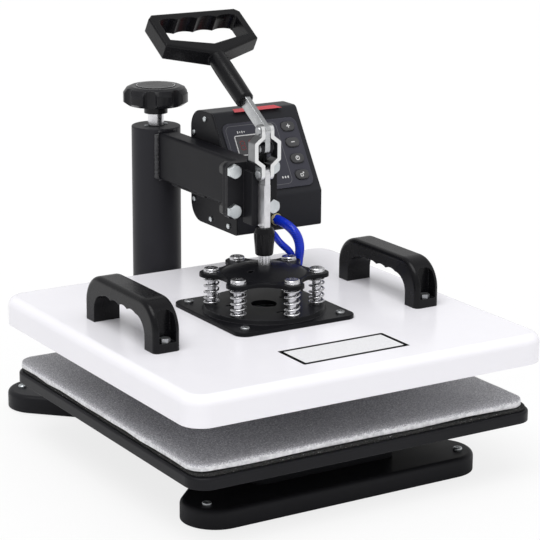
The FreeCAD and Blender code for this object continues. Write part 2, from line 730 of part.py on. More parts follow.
def make_lock_knob():
    """Star knob with scallops, a hub and a recess for its top disc."""
    z0 = SLEEVE_TOP_Z + STUD_COLLAR_H
    z1 = z0 + KNOB_HUB_H
    z2 = z1 + KNOB_H
    profile = [
        (0, z0), (KNOB_HUB_R, z0), (KNOB_HUB_R, z1), (KNOB_R - KNOB_BASE_IN, z1), (KNOB_R, z1 + KNOB_BASE_H),
        (KNOB_R, z2 - KNOB_SHOULDER_H), (KNOB_R - KNOB_CROWN_IN, z2 - KNOB_CROWN_H), (KNOB_R - KNOB_TOP_IN, z2), (0, z2),
    ]
    points = [V(r, 0, z) for r, z in profile]
    face = Part.Face(Part.makePolygon(points + [points[0]]))
    knob = face.revolve(V(0, 0, 0), Z_AXIS, 360)
    knob.translate(V(0, POST_Y, 0))
    tools = []
    for i in range(KNOB_LOBES):
        at = polar(KNOB_SCALLOP_CENTRE_R, 360.0 * i / KNOB_LOBES + KNOB_SCALLOP_TURN, z1 - 1.0, POST_Y)
        tools.append(rod(KNOB_SCALLOP_R, KNOB_H + 2.0, at))
    tools.append(rod(KNOB_DISC_R + SKIN_GAP, 5.0, V(0, POST_Y, z2 - KNOB_DISC_T + 0.6)))
    tools.append(rod(STUD_R + RUN_GAP, STUD_SPIGOT_L + 0.5, V(0, POST_Y, z0 - 0.1)))
    return cut_all(knob, tools)


def make_knob_disc():
    """Flat cap that closes the knob's top."""
    top = SLEEVE_TOP_Z + STUD_COLLAR_H + KNOB_HUB_H + KNOB_H
    disc = rod(KNOB_DISC_R, KNOB_DISC_T, V(0, POST_Y, top - KNOB_DISC_T + 0.6))
    return round_level(disc, top + 0.6, 0.8)


# arm

def make_arm_beam():
    """Box beam coped and welded to the sleeve, with its drilled end plate."""
    half = ARM_W / 2
    rear = POST_Y - SLEEVE_IN_R
    beam = box(-half, half, ARM_FRONT_Y, rear, ARM_BOTTOM_Z, ARM_TOP_Z)
    long_edges = edges_where(beam, lambda b: b.YLength > 1 and b.XLength < 1e-3 and b.ZLength < 1e-3)
    beam = beam.makeFillet(ARM_CORNER_R, long_edges)
    w = ARM_WALL
    inner = box(-half + w, half - w, ARM_FRONT_Y, rear + 1.0, ARM_BOTTOM_Z + w, ARM_TOP_Z - w)
    beam = beam.cut(inner)
    seam_y = POST_Y - math.sqrt(SLEEVE_R ** 2 - half ** 2)
    welds = [rod(WELD_R, ARM_H - 5.0, V(s * half, seam_y, ARM_BOTTOM_Z + 2.5)) for s in (-1, 1)]
    welds = [round_level(round_level(w0, ARM_TOP_Z - 2.5, 1.5), ARM_BOTTOM_Z + 2.5, 1.5) for w0 in welds]
    wide = END_PLATE_W / 2
    low = FLANGE_Z - END_PLATE_H / 2
    high = FLANGE_Z + END_PLATE_H / 2
    plate = box(-wide, wide, END_PLATE_Y, ARM_FRONT_Y, low, high)
    corners = edges_where(plate, lambda b: b.YLength > 1 and b.XLength < 1e-3 and b.ZLength < 1e-3)
    plate = plate.makeFillet(END_PLATE_CORNER_R, corners)
    whole = join([beam, plate] + welds)
    tools = [rod(SLEEVE_R, ARM_H * 2, V(0, POST_Y, ARM_BOTTOM_Z - 20.0)), inner]
    tools += [rod(BOLT_M8_R + BOLT_HOLE_GAP, 20.0, at, Y_AXIS) for at in flange_bolt_spots(-6.0)]
    return cut_all(whole, tools)


def flange_bolt_spots(offset=0.0):
    """Points of the four bolts on the bracket flange's front face."""
    return [V(sx * FLANGE_BOLT_X, FLANGE_Y + offset, FLANGE_Z + sz * FLANGE_BOLT_Z)
            for sx in (-1, 1) for sz in (-1, 1)]


def make_toggle_bracket():
    """Cast bracket: flange, T-slot guide for the plunger and two ears for the fixed pivot."""
    wide = END_PLATE_W / 2
    low = FLANGE_Z - END_PLATE_H / 2
    high = FLANGE_Z + END_PLATE_H / 2
    flange = box(-wide, wide, FLANGE_Y, END_PLATE_Y, low, high)
    corners = edges_where(flange, lambda b: b.YLength > 1 and b.XLength < 1e-3 and b.ZLength < 1e-3)
    flange = flange.makeFillet(END_PLATE_CORNER_R, corners)
    face_y = BAR_REAR_Y + GUIDE_GAP
    guide = box(-GUIDE_HALF, GUIDE_HALF, face_y, FLANGE_Y + 1.0, GUIDE_BOTTOM_Z, GUIDE_TOP_Z)
    front_edges = edges_where(guide, lambda b: vertical(b) and abs(b.YMin - face_y) < 1e-3)
    guide = guide.makeFillet(1.5, front_edges)
    foot = side_prism([(FLANGE_Y + 1.0, low), (FLANGE_Y + 1.0, low - 8.0), (face_y + 2.0, low - 8.0),
                       (face_y + 2.0, low)], -wide * 0.6, wide * 0.6)
    foot = foot.common(box(-GUIDE_HALF, GUIDE_HALF, face_y, 0, GUIDE_BOTTOM_Z, high))
    b = EAR_BOSS_R
    outline = [
        (FLANGE_Y + 0.5, GUIDE_TOP_Z - GUIDE_SHOULDER_H), (FLANGE_Y + 0.5, high + 3.0), (PLUNGER_Y + 10.0, PIVOT_Z + b),
        (PLUNGER_Y, PIVOT_Z + b), (PLUNGER_Y, PIVOT_Z - b), (face_y, PIVOT_Z - b - 3.0),
        (face_y, GUIDE_TOP_Z - GUIDE_SHOULDER_H),
    ]
    ears = []
    for x0, x1 in ((-EAR_OUT, -EAR_IN), (EAR_IN, EAR_OUT)):
        web = side_prism(outline, x0, x1)
        boss = rod(b, EAR_T, V(x0, PLUNGER_Y, PIVOT_Z), X_AXIS)
        ears.append(join([web, boss]))
    body = join([flange, guide, foot] + ears)
    neck = box(-SLOT_NECK_HALF, SLOT_NECK_HALF, face_y - 1.0, face_y + SLOT_NECK_D + 1.0,
               GUIDE_BOTTOM_Z - 9.0, GUIDE_TOP_Z + 1.0)
    head_y = face_y + SLOT_NECK_D
    head = box(-SLOT_HEAD_HALF, SLOT_HEAD_HALF, head_y, head_y + SLOT_HEAD_D,
               GUIDE_BOTTOM_Z - 9.0, GUIDE_TOP_Z + 1.0)
    tools = [neck, head, rod(PIN_R, 4 * EAR_OUT, V(-2 * EAR_OUT, PLUNGER_Y, PIVOT_Z), X_AXIS)]
    tools.append(box(-EAR_IN, EAR_IN, face_y - 1.0, FLANGE_Y - 1.0, GUIDE_TOP_Z, high + 40.0))
    tools += [rod(BOLT_M8_R + BOLT_HOLE_GAP, 20.0, at, Y_AXIS) for at in flange_bolt_spots(-6.0)]
    return cut_all(body, tools)


def make_bracket_bolts():
    """Four bolts with nuts that hold the bracket to the end plate."""
    parts = []
    grip = FLANGE_T + END_PLATE_T
    for at in flange_bolt_spots():
        parts.append(hex_bolt(BOLT_M8_R, grip + 8.5, BOLT_M8_AF, BOLT_M8_HEAD_H, at, Y_AXIS))
        parts.append(hex_nut(BOLT_M8_R, BOLT_M8_AF, 6.5, at + Y_AXIS * grip, Y_AXIS))
    return parts


def make_crank_pin():
    """Fixed pivot pin riveted in the bracket's ears."""
    pin = rod(PIN_R - RUN_GAP, 2 * EAR_OUT, V(-EAR_OUT, PLUNGER_Y, PIVOT_Z), X_AXIS)
    heads = []
    for side in (-1, 1):
        at = V(side * EAR_OUT, PLUNGER_Y, PIVOT_Z)
        heads.append(Part.makeCone(PIN_HEAD_R, PIN_HEAD_R - 0.9, PIN_HEAD_H, at, X_AXIS * side))
    return join([pin] + heads)


# lever and links

def lever_frame():
    """Placement whose X stays X and whose Y runs up along the lever from the upper pin."""
    turn = FreeCAD.Rotation(X_AXIS, LEVER_ANGLE)
    return FreeCAD.Placement(V(0, PLUNGER_Y, UPPER_PIN_Z), turn)


def make_lever_bar():
    """Flat steel lever: crank tongue from the fixed pivot to the upper pin, then the bar."""
    half = LEVER_BAR_D / 2
    bar = box(-TONGUE_HALF, TONGUE_HALF, 0, LEVER_BAR_L, -half, half)
    bar = bar.makeFillet(0.9, edges_where(bar, lambda b: b.YLength > 1 and b.XLength < 1e-3 and b.ZLength < 1e-3))
    bar.Placement = lever_frame()
    elbow = rod(half, 2 * TONGUE_HALF, V(-TONGUE_HALF, PLUNGER_Y, UPPER_PIN_Z), X_AXIS)
    eye_r = EAR_BOSS_R
    tongue = box(-TONGUE_HALF, TONGUE_HALF, PLUNGER_Y - eye_r, PLUNGER_Y + eye_r, PIVOT_Z, UPPER_PIN_Z)
    eye = rod(eye_r, 2 * TONGUE_HALF, V(-TONGUE_HALF, PLUNGER_Y, PIVOT_Z), X_AXIS)
    lever = join([bar, elbow, tongue, eye])
    holes = [rod(PIN_R + RUN_GAP, 6 * TONGUE_HALF, V(-3 * TONGUE_HALF, PLUNGER_Y, z), X_AXIS)
             for z in (PIVOT_Z, UPPER_PIN_Z)]
    return cut_all(lever, holes)


def grip_plate(half_w, low, corner, top, inset, thick):
    """Closed outline of the D grip drawn out about the lever's plane."""
    h = thick / 2
    points = [
        (0, low, -h), (half_w, corner, -h), (half_w, top - inset, -h), (half_w - inset, top, -h),
        (-half_w + inset, top, -h), (-half_w, top - inset, -h), (-half_w, corner, -h),
    ]
    return polygon_face(points).extrude(V(0, 0, thick))


def make_lever_grip():
    """D grip with finger scallops, moulded on a round stem that takes the bar."""
    outer = grip_plate(GRIP_HALF_W, GRIP_STEM_TO - 7.0, GRIP_LOW_CORNER, GRIP_TOP, 5.0, GRIP_T)
    hole = grip_plate(GRIP_HOLE_HALF_W, GRIP_HOLE_MID, GRIP_HOLE_LOW, GRIP_HOLE_TOP, 2.0, GRIP_T + 2.0)
    pitch = 2 * GRIP_HOLE_HALF_W / GRIP_SCALLOPS
    tools = []
    ridge_r = (pitch ** 2 / 4 + GRIP_SCALLOP_DEPTH ** 2) / (2 * GRIP_SCALLOP_DEPTH)
    for i in range(GRIP_SCALLOPS):
        x = -GRIP_HOLE_HALF_W + (i + 0.5) * pitch
        y = GRIP_HOLE_TOP + GRIP_SCALLOP_DEPTH - ridge_r
        tools.append(rod(ridge_r, GRIP_T + 2.0, V(x, y, -GRIP_T / 2 - 1.0)))
    window = join([hole] + [t.common(box(-GRIP_HOLE_HALF_W + 1.0, GRIP_HOLE_HALF_W - 1.0, GRIP_HOLE_MID + 20.0,
                                         GRIP_TOP - 3.0, -GRIP_T, GRIP_T)) for t in tools])
    frame = outer.cut(window)
    top_z = GRIP_T / 2
    rim = edges_where(frame, lambda b: b.ZLength < 1e-3 and abs(abs(b.ZMin) - top_z) < 1e-3
                      and (b.XMax > GRIP_HALF_W - 5.5 or b.XMin < -GRIP_HALF_W + 5.5 or b.YMin > GRIP_TOP - 0.5
                           or b.YMax < GRIP_LOW_CORNER + 0.5))
    frame = frame.makeFillet(GRIP_EDGE_R, rim)
    length = GRIP_STEM_TO - GRIP_STEM_FROM
    stem_low = GRIP_STEM_FROM
    profile = [V(0, stem_low, 0), V(GRIP_STEM_R_LOW - 1.5, stem_low, 0), V(GRIP_STEM_R_LOW, stem_low + 2.0, 0),
               V(GRIP_STEM_R_HIGH, stem_low + 0.42 * length, 0), V(GRIP_STEM_R_HIGH, stem_low + 0.7 * length, 0),
               V(GRIP_T / 2, GRIP_STEM_TO + 3.0, 0), V(0, GRIP_STEM_TO + 3.0, 0)]
    stem = Part.Face(Part.makePolygon(profile + [profile[0]])).revolve(V(0, 0, 0), Y_AXIS, 360)
    grip = join([frame, stem])
    socket = box(-TONGUE_HALF - SKIN_GAP, TONGUE_HALF + SKIN_GAP, stem_low - 1.0, LEVER_BAR_L + SKIN_GAP,
                 -LEVER_BAR_D / 2 - SKIN_GAP, LEVER_BAR_D / 2 + SKIN_GAP)
    grip = grip.cut(socket)
    grip.Placement = lever_frame()
    return grip


def make_link_strap(side):
    """Bent link strap: straight eyes at both ends and a bowed window round the fixed pivot."""
    zb = LOWER_PIN_Z
    end = STRAP_D / 2
    s = STRAP_BOW_FROM
    t = STRAP_BOW_SLANT
    top = LINK_L
    high = top - STRAP_BOW_TO
    drop = STRAP_T * STRAP_SLANT_SHIFT
    inner = [(STRAP_IN, -end), (STRAP_IN, s), (STRAP_IN + STRAP_BOW, s + t), (STRAP_IN + STRAP_BOW, high - t),
             (STRAP_IN, high), (STRAP_IN, top + end)]
    outer = [(STRAP_OUT, top + end), (STRAP_OUT, high + drop), (STRAP_OUT + STRAP_BOW, high - t + drop),
             (STRAP_OUT + STRAP_BOW, s + t - drop), (STRAP_OUT, s - drop), (STRAP_OUT, -end)]
    points = [(side * x, PLUNGER_Y - end, zb + z) for x, z in inner + outer]
    strap = polygon_face(points).extrude(V(0, STRAP_D, 0))
    bends = edges_where(strap, lambda b: b.YLength > 1 and b.XLength < 1e-3 and b.ZLength < 1e-3
                        and zb < b.ZMin < zb + top)
    strap = strap.makeFillet(1.6, bends)
    rounded = join([rod(end, 60.0, V(-30, PLUNGER_Y, zb), X_AXIS),
                    rod(end, 60.0, V(-30, PLUNGER_Y, zb + top), X_AXIS),
                    box(-30, 30, PLUNGER_Y - end, PLUNGER_Y + end, zb, zb + top)])
    strap = strap.common(rounded)
    holes = [rod(PIN_R + RUN_GAP, 60.0, V(-30, PLUNGER_Y, z), X_AXIS) for z in (zb, zb + top)]
    return cut_all(strap, holes)


def make_link_pins():
    """Upper pin through the lever, and the two lower rivets that end at the straps' inner faces."""
    pins = []
    upper = rod(PIN_R, 2 * STRAP_OUT, V(-STRAP_OUT, PLUNGER_Y, UPPER_PIN_Z), X_AXIS)
    heads = []
    for side in (-1, 1):
        at = V(side * STRAP_OUT, PLUNGER_Y, UPPER_PIN_Z)
        heads.append(Part.makeCone(PIN_HEAD_R, PIN_HEAD_R - 0.9, PIN_HEAD_H, at, X_AXIS * side))
        low = V(side * STRAP_IN, PLUNGER_Y, LOWER_PIN_Z)
        stub = rod(PIN_R, STRAP_T, low, X_AXIS * side)
        head = Part.makeCone(PIN_HEAD_R, PIN_HEAD_R - 0.9, PIN_HEAD_H, low + X_AXIS * side * STRAP_T, X_AXIS * side)
        pins.append(join([stub, head]))
    pins.append(join([upper] + heads))
    return pins


# plunger and pressure adjuster

def make_plunger_bar():
    """Flat plunger with a slotless eye at the top, a T rib behind and a threaded stub below."""
    half_d = BAR_D / 2
    shoulder_z = LOWER_PIN_Z - BAR_SHOULDER
    bar = box(-BAR_HALF, BAR_HALF, PLUNGER_Y - half_d, PLUNGER_Y + half_d, BAR_BOTTOM_Z, shoulder_z)
    front = edges_where(bar, lambda b: vertical(b) and b.YMax < PLUNGER_Y)
    bar = bar.makeFillet(1.3, front)
    tongue = box(-TONGUE_HALF, TONGUE_HALF, PLUNGER_Y - half_d + 0.3, PLUNGER_Y + half_d - 0.3,
                 shoulder_z - 1.0, LOWER_PIN_Z)
    eye = rod(half_d - 0.3, 2 * TONGUE_HALF, V(-TONGUE_HALF, PLUNGER_Y, LOWER_PIN_Z), X_AXIS)
    face_y = BAR_REAR_Y + GUIDE_GAP
    slack = 0.3
    rib_low = BAR_BOTTOM_Z + 4.0
    neck = box(-SLOT_NECK_HALF + slack, SLOT_NECK_HALF - slack, BAR_REAR_Y - 1.0, face_y + SLOT_NECK_D + slack + 0.5,
               rib_low, shoulder_z)
    head = box(-SLOT_HEAD_HALF + slack, SLOT_HEAD_HALF - slack, face_y + SLOT_NECK_D + slack,
               face_y + SLOT_NECK_D + SLOT_HEAD_D - slack, rib_low, shoulder_z)
    stub = rod(STUB_R, STUB_L + 1.0, V(0, PLUNGER_Y, BAR_BOTTOM_Z - STUB_L))
    plunger = join([bar, tongue, eye, neck, head, stub])
    return plunger.cut(rod(PIN_R + RUN_GAP, 20.0, V(-10, PLUNGER_Y, LOWER_PIN_Z), X_AXIS))


def make_pressure_sleeve():
    """Tapered sleeve nut that sets the pressing height."""
    top = BAR_BOTTOM_Z - SKIN_GAP
    low = SLEEVE_LOW_Z
    profile = [(0, low), (PRESS_SLEEVE_TIP_R - 1.0, low), (PRESS_SLEEVE_TIP_R, low + 1.0),
               (PRESS_SLEEVE_R, low + 18.0), (PRESS_SLEEVE_R, top - 5.0), (PRESS_SLEEVE_R - 1.8, top), (0, top)]
    points = [V(r, 0, z) for r, z in profile]
    sleeve = Part.Face(Part.makePolygon(points + [points[0]])).revolve(V(0, 0, 0), Z_AXIS, 360)
    sleeve.translate(V(0, PLUNGER_Y, 0))
    seat = HUB_STUD_TOP_Z + 4.2
    tools = [rod(STUD_R + RUN_GAP, seat - low + 1.0, V(0, PLUNGER_Y, low - 1.0)),
             rod(STUB_R + RUN_GAP, 30.0, V(0, PLUNGER_Y, seat - 1.0))]
    for i in range(8):
        at = polar(PRESS_SLEEVE_R + 1.1, 45.0 * i, low + 8.0, PLUNGER_Y)
        tools.append(rod(1.8, 14.0, at))
    return cut_all(sleeve, tools)


def lobed_face(z):
    """Plan of the spring hub: lobes on the bolt circle joined by hollow arcs."""
    half = math.pi / SPRING_N
    c = SPRING_PCD_R
    num = VALLEY_R ** 2 + c ** 2 - 2 * VALLEY_R * c * math.cos(half) - LOBE_R ** 2
    den = 2 * LOBE_R - 2 * VALLEY_R + 2 * c * math.cos(half)
    rho = num / den
    dist = VALLEY_R + rho
    edges = []
    for i in range(SPRING_N):
        lobe_a = math.radians(30.0) + i * 2 * half
        valley_a = lobe_a + half
        lobe = V(c * math.cos(lobe_a), PLUNGER_Y + c * math.sin(lobe_a), z)
        before = V(dist * math.cos(lobe_a - half), PLUNGER_Y + dist * math.sin(lobe_a - half), z)
        after = V(dist * math.cos(valley_a), PLUNGER_Y + dist * math.sin(valley_a), z)
        start = lobe + (before - lobe).normalize() * LOBE_R
        stop = lobe + (after - lobe).normalize() * LOBE_R
        tip = lobe + V(math.cos(lobe_a), math.sin(lobe_a), 0) * LOBE_R
        edges.append(Part.Arc(start, tip, stop).toShape())
        nxt = V(c * math.cos(lobe_a + 2 * half), PLUNGER_Y + c * math.sin(lobe_a + 2 * half), z)
        nxt_start = nxt + (after - nxt).normalize() * LOBE_R
        low = after - V(math.cos(valley_a), math.sin(valley_a), 0) * rho
        edges.append(Part.Arc(stop, low, nxt_start).toShape())
    return Part.Face(Part.Wire(edges))


def dome_edges(radius, rim_z, height):
    """Arc of a shallow dome, from its crown to its rim, in the XZ plane."""
    ball_r = (radius ** 2 + height ** 2) / (2 * height)
    half = math.asin(radius / ball_r) / 2
    middle = V(ball_r * math.sin(half), 0, rim_z + height - ball_r * (1 - math.cos(half)))
    return Part.Arc(V(0, 0, rim_z + height), middle, V(radius, 0, rim_z)).toShape()


def make_spring_hub():
    """Domed six-lobed pressed plate with a thickened middle for its stud."""
    low = HUB_PLATE_LOW_Z
    top = HUB_PLATE_TOP_Z
    t = HUB_PLATE_T
    r = HUB_DOME_R
    lobes = lobed_face(low).extrude(V(0, 0, t))
    lobes = round_level(lobes, top, 1.2)
    lobes = lobes.cut(rod(r - 1.0, 20.0, V(0, PLUNGER_Y, low - 5.0)))
    rim_out = V(r, 0, top)
    rim_in = V(r - t, 0, low)
    corner = V(r, 0, low)
    crown_low = V(0, 0, low + HUB_DOME_H)
    crown = V(0, 0, top + HUB_DOME_H)
    edges = [dome_edges(r, top, HUB_DOME_H), Part.LineSegment(rim_out, corner).toShape(),
             Part.LineSegment(corner, rim_in).toShape(), dome_edges(r - t, low, HUB_DOME_H),
             Part.LineSegment(crown_low, crown).toShape()]
    dome = Part.Face(Part.Wire(Part.__sortEdges__(edges))).revolve(V(0, 0, 0), Z_AXIS, 360)
    dome.translate(V(0, PLUNGER_Y, 0))
    boss = rod(HUB_BOSS_R, HUB_DOME_H, V(0, PLUNGER_Y, low))
    hub = join([lobes, dome, boss])
    holes = [rod(SHOULDER_R + SHOULDER_GAP, 30.0, spring_spot(i, low - 5.0)) for i in range(SPRING_N)]
    slot = rod(3.0, 40.0, polar(24.0, 205.0, top - 15.0, PLUNGER_Y))
    bore = rod(STUD_R + RUN_GAP, 60.0, V(0, PLUNGER_Y, low - 10.0))
    return cut_all(hub, holes + [slot, bore])


def make_hub_stud():
    """Plated stud riveted under the hub, on which the sleeve nut turns."""
    low = HUB_PLATE_LOW_Z
    shank = rod(STUD_R, HUB_STUD_TOP_Z - low + HUB_RIVET_H, V(0, PLUNGER_Y, low - HUB_RIVET_H))
    shank = round_level(shank, HUB_STUD_TOP_Z, 1.0)
    rivet = rod(HUB_RIVET_R, HUB_RIVET_H, V(0, PLUNGER_Y, low - HUB_RIVET_H))
    rivet = round_level(rivet, low - HUB_RIVET_H, 1.2)
    return join([shank, rivet])


def spring_spot(index, z):
    """Axis of one spring bolt."""
    return polar(SPRING_PCD_R, 30.0 + 360.0 * index / SPRING_N, z, PLUNGER_Y)


def cross_recess(top):
    """Cross-shaped driver recess below a point on a screw head's crown."""
    half = CROSS_W / 2
    reach = CROSS_L / 2
    long_slot = box(top.x - reach, top.x + reach, top.y - half, top.y + half, top.z - CROSS_D, top.z + 1.0)
    short_slot = box(top.x - half, top.x + half, top.y - reach, top.y + reach, top.z - CROSS_D, top.z + 1.0)
    return join([long_slot, short_slot])


def make_spring_bolts():
    """Shoulder bolts with washers: the heads rest on the hub, the threads hold the heating plate."""
    parts = []
    for i in range(SPRING_N):
        seat = spring_spot(i, HUB_PLATE_TOP_Z)
        washer = ring(WASHER_R, SHOULDER_R + RUN_GAP, WASHER_T, seat)
        head = rod(SHOULDER_HEAD_R, SHOULDER_HEAD_H, seat + Z_AXIS * WASHER_T)
        head = round_level(head, seat.z + WASHER_T + SHOULDER_HEAD_H, 1.6)
        cross = cross_recess(seat + Z_AXIS * (WASHER_T + SHOULDER_HEAD_H))
        shank = rod(SHOULDER_R, HUB_PLATE_TOP_Z + WASHER_T - PLATEAU_TOP_Z, spring_spot(i, PLATEAU_TOP_Z))
        tip_low = COVER_TOP_Z - COVER_WALL - BOLT_TIP_L
        tip = rod(STUB_R - 1.5, PLATEAU_TOP_Z - tip_low, spring_spot(i, tip_low))
        parts.append(join([head, shank, tip]).cut(cross))
        parts.append(washer)
    return parts


def biarc(p0, t0, p1, t1):
    """Two tangent arcs between two points with given directions."""
    v = p1 - p0
    t = t0 + t1
    a = 4.0 - t.dot(t)
    d = (-v.dot(t) + math.sqrt(v.dot(t) ** 2 + a * v.dot(v))) / a
    q0 = p0 + t0 * d
    q1 = p1 - t1 * d
    mid = (q0 + q1) * 0.5
    arcs = []
    for start, corner, stop in ((p0, q0, mid), (mid, q1, p1)):
        chord_mid = (start + stop) * 0.5
        cos_half = (stop - start).Length / 2 / d
        through = chord_mid + (corner - chord_mid) * (cos_half / (1 + cos_half))
        arcs.append(Part.Arc(start, through, stop).toShape())
    return arcs


def spring_point(turn, low, high):
    """Point and direction of the wire's centre line after a number of turns."""
    ends = SPRING_END_TURNS
    total = 2 * ends + SPRING_MID_TURNS
    rise_mid = (high - low) - 2 * ends * SPRING_END_PITCH
    mid_pitch = rise_mid / SPRING_MID_TURNS
    if turn <= ends:
        z = low + SPRING_END_PITCH * turn
        pitch = SPRING_END_PITCH
    elif turn <= total - ends:
        z = low + SPRING_END_PITCH * ends + mid_pitch * (turn - ends)
        pitch = mid_pitch
    else:
        z = high - SPRING_END_PITCH * (total - turn)
        pitch = SPRING_END_PITCH
    if abs(turn - ends) < 1e-6 or abs(turn - total + ends) < 1e-6:
        pitch = (SPRING_END_PITCH + mid_pitch) / 2
    a = 2 * math.pi * turn
    point = V(SPRING_MEAN_R * math.cos(a), SPRING_MEAN_R * math.sin(a), z)
    around = 2 * math.pi * SPRING_MEAN_R
    direction = V(-math.sin(a) * around, math.cos(a) * around, pitch).normalize()
    return point, direction


def make_spring(index):
    """One compression spring as an unbroken wire round its bolt."""
    low = PLATEAU_TOP_Z + SPRING_WIRE_R + RUN_GAP
    high = HUB_PLATE_LOW_Z - SPRING_WIRE_R - RUN_GAP
    total = 2 * SPRING_END_TURNS + SPRING_MID_TURNS
    steps = int(round(total * 4))
    stations = [spring_point(total * i / steps, low, high) for i in range(steps + 1)]
    edges = []
    for (p0, t0), (p1, t1) in zip(stations, stations[1:]):
        edges.extend(biarc(p0, t0, p1, t1))
    path = Part.Wire(edges)
    start, direction = stations[0]
    section = Part.Wire(Part.Circle(start, direction, SPRING_WIRE_R).toShape())
    pipe = path.makePipeShell([section], True, False)
    pipe.translate(spring_spot(index, 0))
    if index == 0:
        report_spring_gap(path)
    return pipe


def report_spring_gap(path):
    """Print the least distance between the wire's surface and itself."""
    per_turn = 48
    total = 2 * SPRING_END_TURNS + SPRING_MID_TURNS
    points = path.discretize(Number=int(per_turn * total))
    least = 1e9
    for i, p in enumerate(points):
        for q in points[i + per_turn // 2:]:
            least = min(least, (p - q).Length)
    print("least gap of the spring wire to itself", round(least - 2 * SPRING_WIRE_R, 2), "mm")


# upper platen

def make_mount_plate():
    """Square pressed plate with a raised round plateau under the springs."""
    h = MOUNT_HALF
    cy = PLUNGER_Y
    plate = rounded_block(-h, h, cy - h, cy + h, COVER_TOP_Z, MOUNT_TOP_Z, MOUNT_CORNER_R)
    plate = round_level(plate, MOUNT_TOP_Z, 1.0)
    r = MOUNT_PLATEAU_R
    rise = MOUNT_PLATEAU_H
    plateau = Part.makeCone(r + 2.5, r, rise + 1.0, V(0, cy, MOUNT_TOP_Z - 1.0))
    hollow = Part.makeCone(r - 2.5, r - 4.5, rise, V(0, cy, COVER_TOP_Z))
    tools = [hollow, rod(MOUNT_CENTRE_R, 30.0, V(0, cy, COVER_TOP_Z - 5.0))]
    for at in mount_screw_spots():
        tools.append(rod(MOUNT_SCREW_R + BOLT_HOLE_GAP, 20.0, at - Z_AXIS * 10.0))
    for i in range(SPRING_N):
        tools.append(rod(STUB_R - 1.5 + RUN_GAP, 20.0, spring_spot(i, COVER_TOP_Z - 5.0)))
    for angle in (20.0, 160.0, 270.0):
        at = polar(33.0, angle, COVER_TOP_Z - 5.0, cy)
        tools.append(box(at.x - 6.0, at.x + 6.0, at.y - 1.6, at.y + 1.6, at.z, at.z + 20.0))
    for path, radius in cable_ends():
        x, y, _ = path[-1]
        tools.append(rod(radius + GROMMET_WALL + RUN_GAP, 20.0, V(x, y, COVER_TOP_Z - 5.0)))
    pads = [ring(HEAT_BOSS_R - 1.0, STUB_R - 1.5 + RUN_GAP, rise, spring_spot(i, COVER_TOP_Z))
            for i in range(SPRING_N)]
    return join([cut_all(join([plate, plateau]), tools)] + pads)


def mount_screw_spots():
    """Seats of the four screws that hold the mount plate to the cover."""
    return [V(sx * MOUNT_HOLE_AT, PLUNGER_Y + sy * MOUNT_HOLE_AT, MOUNT_TOP_Z) for sx in (-1, 1) for sy in (-1, 1)]


def cover_block(inset, low, top_drop, edge_r):
    """Rounded cover body, also used for its hollow."""
    w = COVER_W / 2 - inset
    d = COVER_D / 2 - inset
    body = rounded_block(-w, w, PLATEN_Y - d, PLATEN_Y + d, low, COVER_TOP_Z - top_drop, COVER_PLAN_R - inset)
    return round_level(body, COVER_TOP_Z - top_drop, edge_r)


def handle_bolt_spots():
    """Axes of the four handle bolts."""
    reach = HANDLE_L / 2 - HANDLE_POCKET_D / 2
    return [V(sx * HANDLE_X, PLUNGER_Y + sy * reach, COVER_TOP_Z) for sx in (-1, 1) for sy in (-1, 1)]


def cable_ends():
    """Where each platen cable leaves the box and meets the platen."""
    return [(HEATER_CABLE_PATH, HEATER_CABLE_R), (SENSOR_CABLE_PATH, SENSOR_CABLE_R)]


def make_platen_cover():
    """White moulded cover, open underneath."""
    body = cover_block(0.0, COVER_BOTTOM_Z, 0.0, COVER_EDGE_R)
    hollow = cover_block(COVER_WALL, COVER_BOTTOM_Z - 5.0, COVER_WALL, COVER_EDGE_R - COVER_WALL)
    tools = [hollow]
    low = COVER_TOP_Z - COVER_WALL - 1.0
    for i in range(SPRING_N):
        tools.append(rod(STUB_R - 1.5 + 0.4, 10.0, spring_spot(i, low)))
    for at in handle_bolt_spots():
        tools.append(rod(HANDLE_BOLT_R + 0.3, 10.0, V(at.x, at.y, low)))
    for at in mount_screw_spots():
        tools.append(rod(MOUNT_SCREW_R + RUN_GAP, 20.0, at - Z_AXIS * 15.0))
    for path, radius in cable_ends():
        x, y, _ = path[-1]
        tools.append(rod(radius + GROMMET_WALL + RUN_GAP, 10.0, V(x, y, low)))
    return cut_all(body, tools)


def make_heating_plate():
    """Cast heating plate with bosses for the spring bolts and a groove for its element."""
    w = HEAT_W / 2
    d = HEAT_D / 2
    cy = PLATEN_Y
    plate = rounded_block(-w, w, cy - d, cy + d, HEAT_BOTTOM_Z, HEAT_TOP_Z, HEAT_CORNER_R)
    plate = round_level(plate, HEAT_BOTTOM_Z, 1.5)
    boss_h = COVER_TOP_Z - COVER_WALL - HEAT_TOP_Z
    bosses = [rod(HEAT_BOSS_R, boss_h, spring_spot(i, HEAT_TOP_Z)) for i in range(SPRING_N)]
    plate = join([plate] + bosses)
    tools = [element_path_solid(ELEMENT_R + 0.15)]
    top = COVER_TOP_Z - COVER_WALL
    for i in range(SPRING_N):
        tools.append(rod(STUB_R - 1.5 + RUN_GAP, BOLT_TIP_L + 3.0, spring_spot(i, top - BOLT_TIP_L - 1.0)))
    return cut_all(plate, tools)


